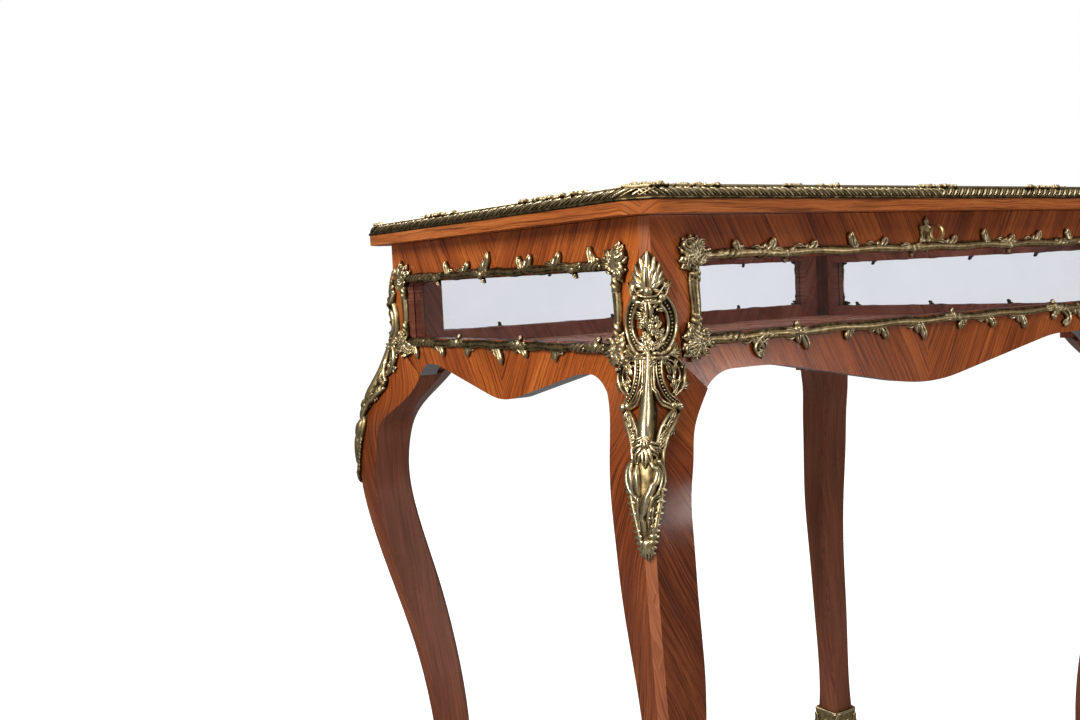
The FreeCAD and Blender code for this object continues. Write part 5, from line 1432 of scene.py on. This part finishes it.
# ------------------------------------------------------------------ room, lamps and camera
# Name, place, width in metres and power in watts; all look at AIM.
LAMPS = (("key_lamp", (-2.9, -1.0, 2.15), 1.2, 92), ("fill_lamp", (0.9, -2.4, 2.7), 0.8, 18),
         ("low_lamp", (1.1, -1.75, 0.31), 0.3, 4.0), ("top_lamp", (-0.3, 0.2, 3.0), 2.4, 34),
         ("back_lamp", (0.8, 2.6, 2.2), 1.6, 34))
AIM = (0, 0, 0.55)
ROOM_REACH = 8.0
GLOW = 0.92                            # the floor's own light, for the eye alone
FLOOR_GREY, FLOOR_GREY_MIRRORED = (0.5, 0.5, 0.5), (0.14, 0.14, 0.14)
SKY_LIGHT, SKY_LESS_MIRRORED = 0.26, -0.15
EYE = (-0.9442964, -0.9684749, 0.6983174)
EYE_RIGHT = (0.8314256, -0.5535003, -0.0486718)
EYE_UP = (0.0774585, 0.0287182, 0.9965819)
EYE_AHEAD = (0.5502106, 0.8323537, -0.0667503)
LENS, SENSOR = 38.774, 36


def direct_sight(tree, rays):
    """1 for what is seen straight or through glass alone, and less after a bounce.

    So wood, brass and panes mirror a dimmer room than the white one that is seen.
    """
    share = rays["Is Transmission Ray"]
    for depth, loss in (("Diffuse Depth", 0.5), ("Glossy Depth", 0.88)):
        bounced = tree.math("MINIMUM", rays[depth], 1.0)
        share = tree.times(share, tree.minus(1.0, tree.times(bounced, loss)))
    return tree.math("MAXIMUM", rays["Is Camera Ray"], share)


def stage_finish():
    """A pale floor that reads white to the eye and keeps the table's shadow."""
    material, tree, shader = finish("pale_floor_finish", Roughness=0.9)
    rays = tree.add("ShaderNodeLightPath").outputs
    seen = direct_sight(tree, rays)
    tree.feed(shader.inputs["Base Color"],
              tree.blend(rays["Is Glossy Ray"], FLOOR_GREY, FLOOR_GREY_MIRRORED))
    glow = tree.add("ShaderNodeEmission")
    glow.inputs["Color"].default_value = (1, 1, 1, 1)
    glow.inputs["Strength"].default_value = GLOW
    both = tree.add("ShaderNodeAddShader")
    tree.feed(both.inputs[0], shader.outputs[0])
    tree.feed(both.inputs[1], glow.outputs[0])
    pick = tree.add("ShaderNodeMixShader")
    tree.feed(pick.inputs[0], seen)
    tree.feed(pick.inputs[1], shader.outputs[0])
    tree.feed(pick.inputs[2], both.outputs[0])
    tree.feed(material.node_tree.nodes["Material Output"].inputs["Surface"], pick.outputs[0])
    return material


def make_room():
    """Floor, world and soft lamps."""
    mesh = bpy.data.meshes.new("pale_floor")
    mesh.from_pydata([(*corner, 0) for corner in square(ROOM_REACH, ROOM_REACH)], [],
                     [(0, 1, 2, 3)])
    mesh.materials.append(stage_finish())
    floor = in_scene("pale_floor", mesh)

    world = bpy.data.worlds.new("studio")
    bpy.context.scene.world = world
    world.use_nodes = True
    tree = Nodes(world.node_tree)
    rays = tree.add("ShaderNodeLightPath").outputs
    light = tree.plus(tree.times(rays["Is Glossy Ray"], SKY_LESS_MIRRORED), SKY_LIGHT)
    strength = tree.math("MAXIMUM", direct_sight(tree, rays), light)
    sky = world.node_tree.nodes["Background"]
    sky.inputs["Color"].default_value = (1, 1, 1, 1)
    tree.feed(sky.inputs["Strength"], strength)

    for name, spot, size, power in LAMPS:
        lamp = bpy.data.lights.new(name, "AREA")
        lamp.size = size
        lamp.energy = power
        item = in_scene(name, lamp)
        item.location = spot
        item.rotation_euler = (Vector(AIM) - Vector(spot)).to_track_quat("-Z", "Y").to_euler()


def make_camera():
    """The viewpoint: a little below the lid's height, off the front left corner."""
    turn = Matrix((EYE_RIGHT, EYE_UP, -Vector(EYE_AHEAD))).transposed().to_4x4()
    camera = bpy.data.cameras.new("view")
    camera.sensor_width = SENSOR
    camera.lens = LENS
    item = in_scene("view", camera)
    item.matrix_world = Matrix.Translation(EYE) @ turn
    bpy.context.scene.camera = item


make_camera()
make_room()
dress_solids()
for name in CORNERS:
    knee_mount(name)
    sabot(name)
for name in FACES:
    window_frame(name)
lid_border()
pane_frame()
scutcheon()
for pattern in PATTERNS:
    bpy.data.objects.remove(pattern)
bpy.context.scene.view_settings.view_transform = "Standard"
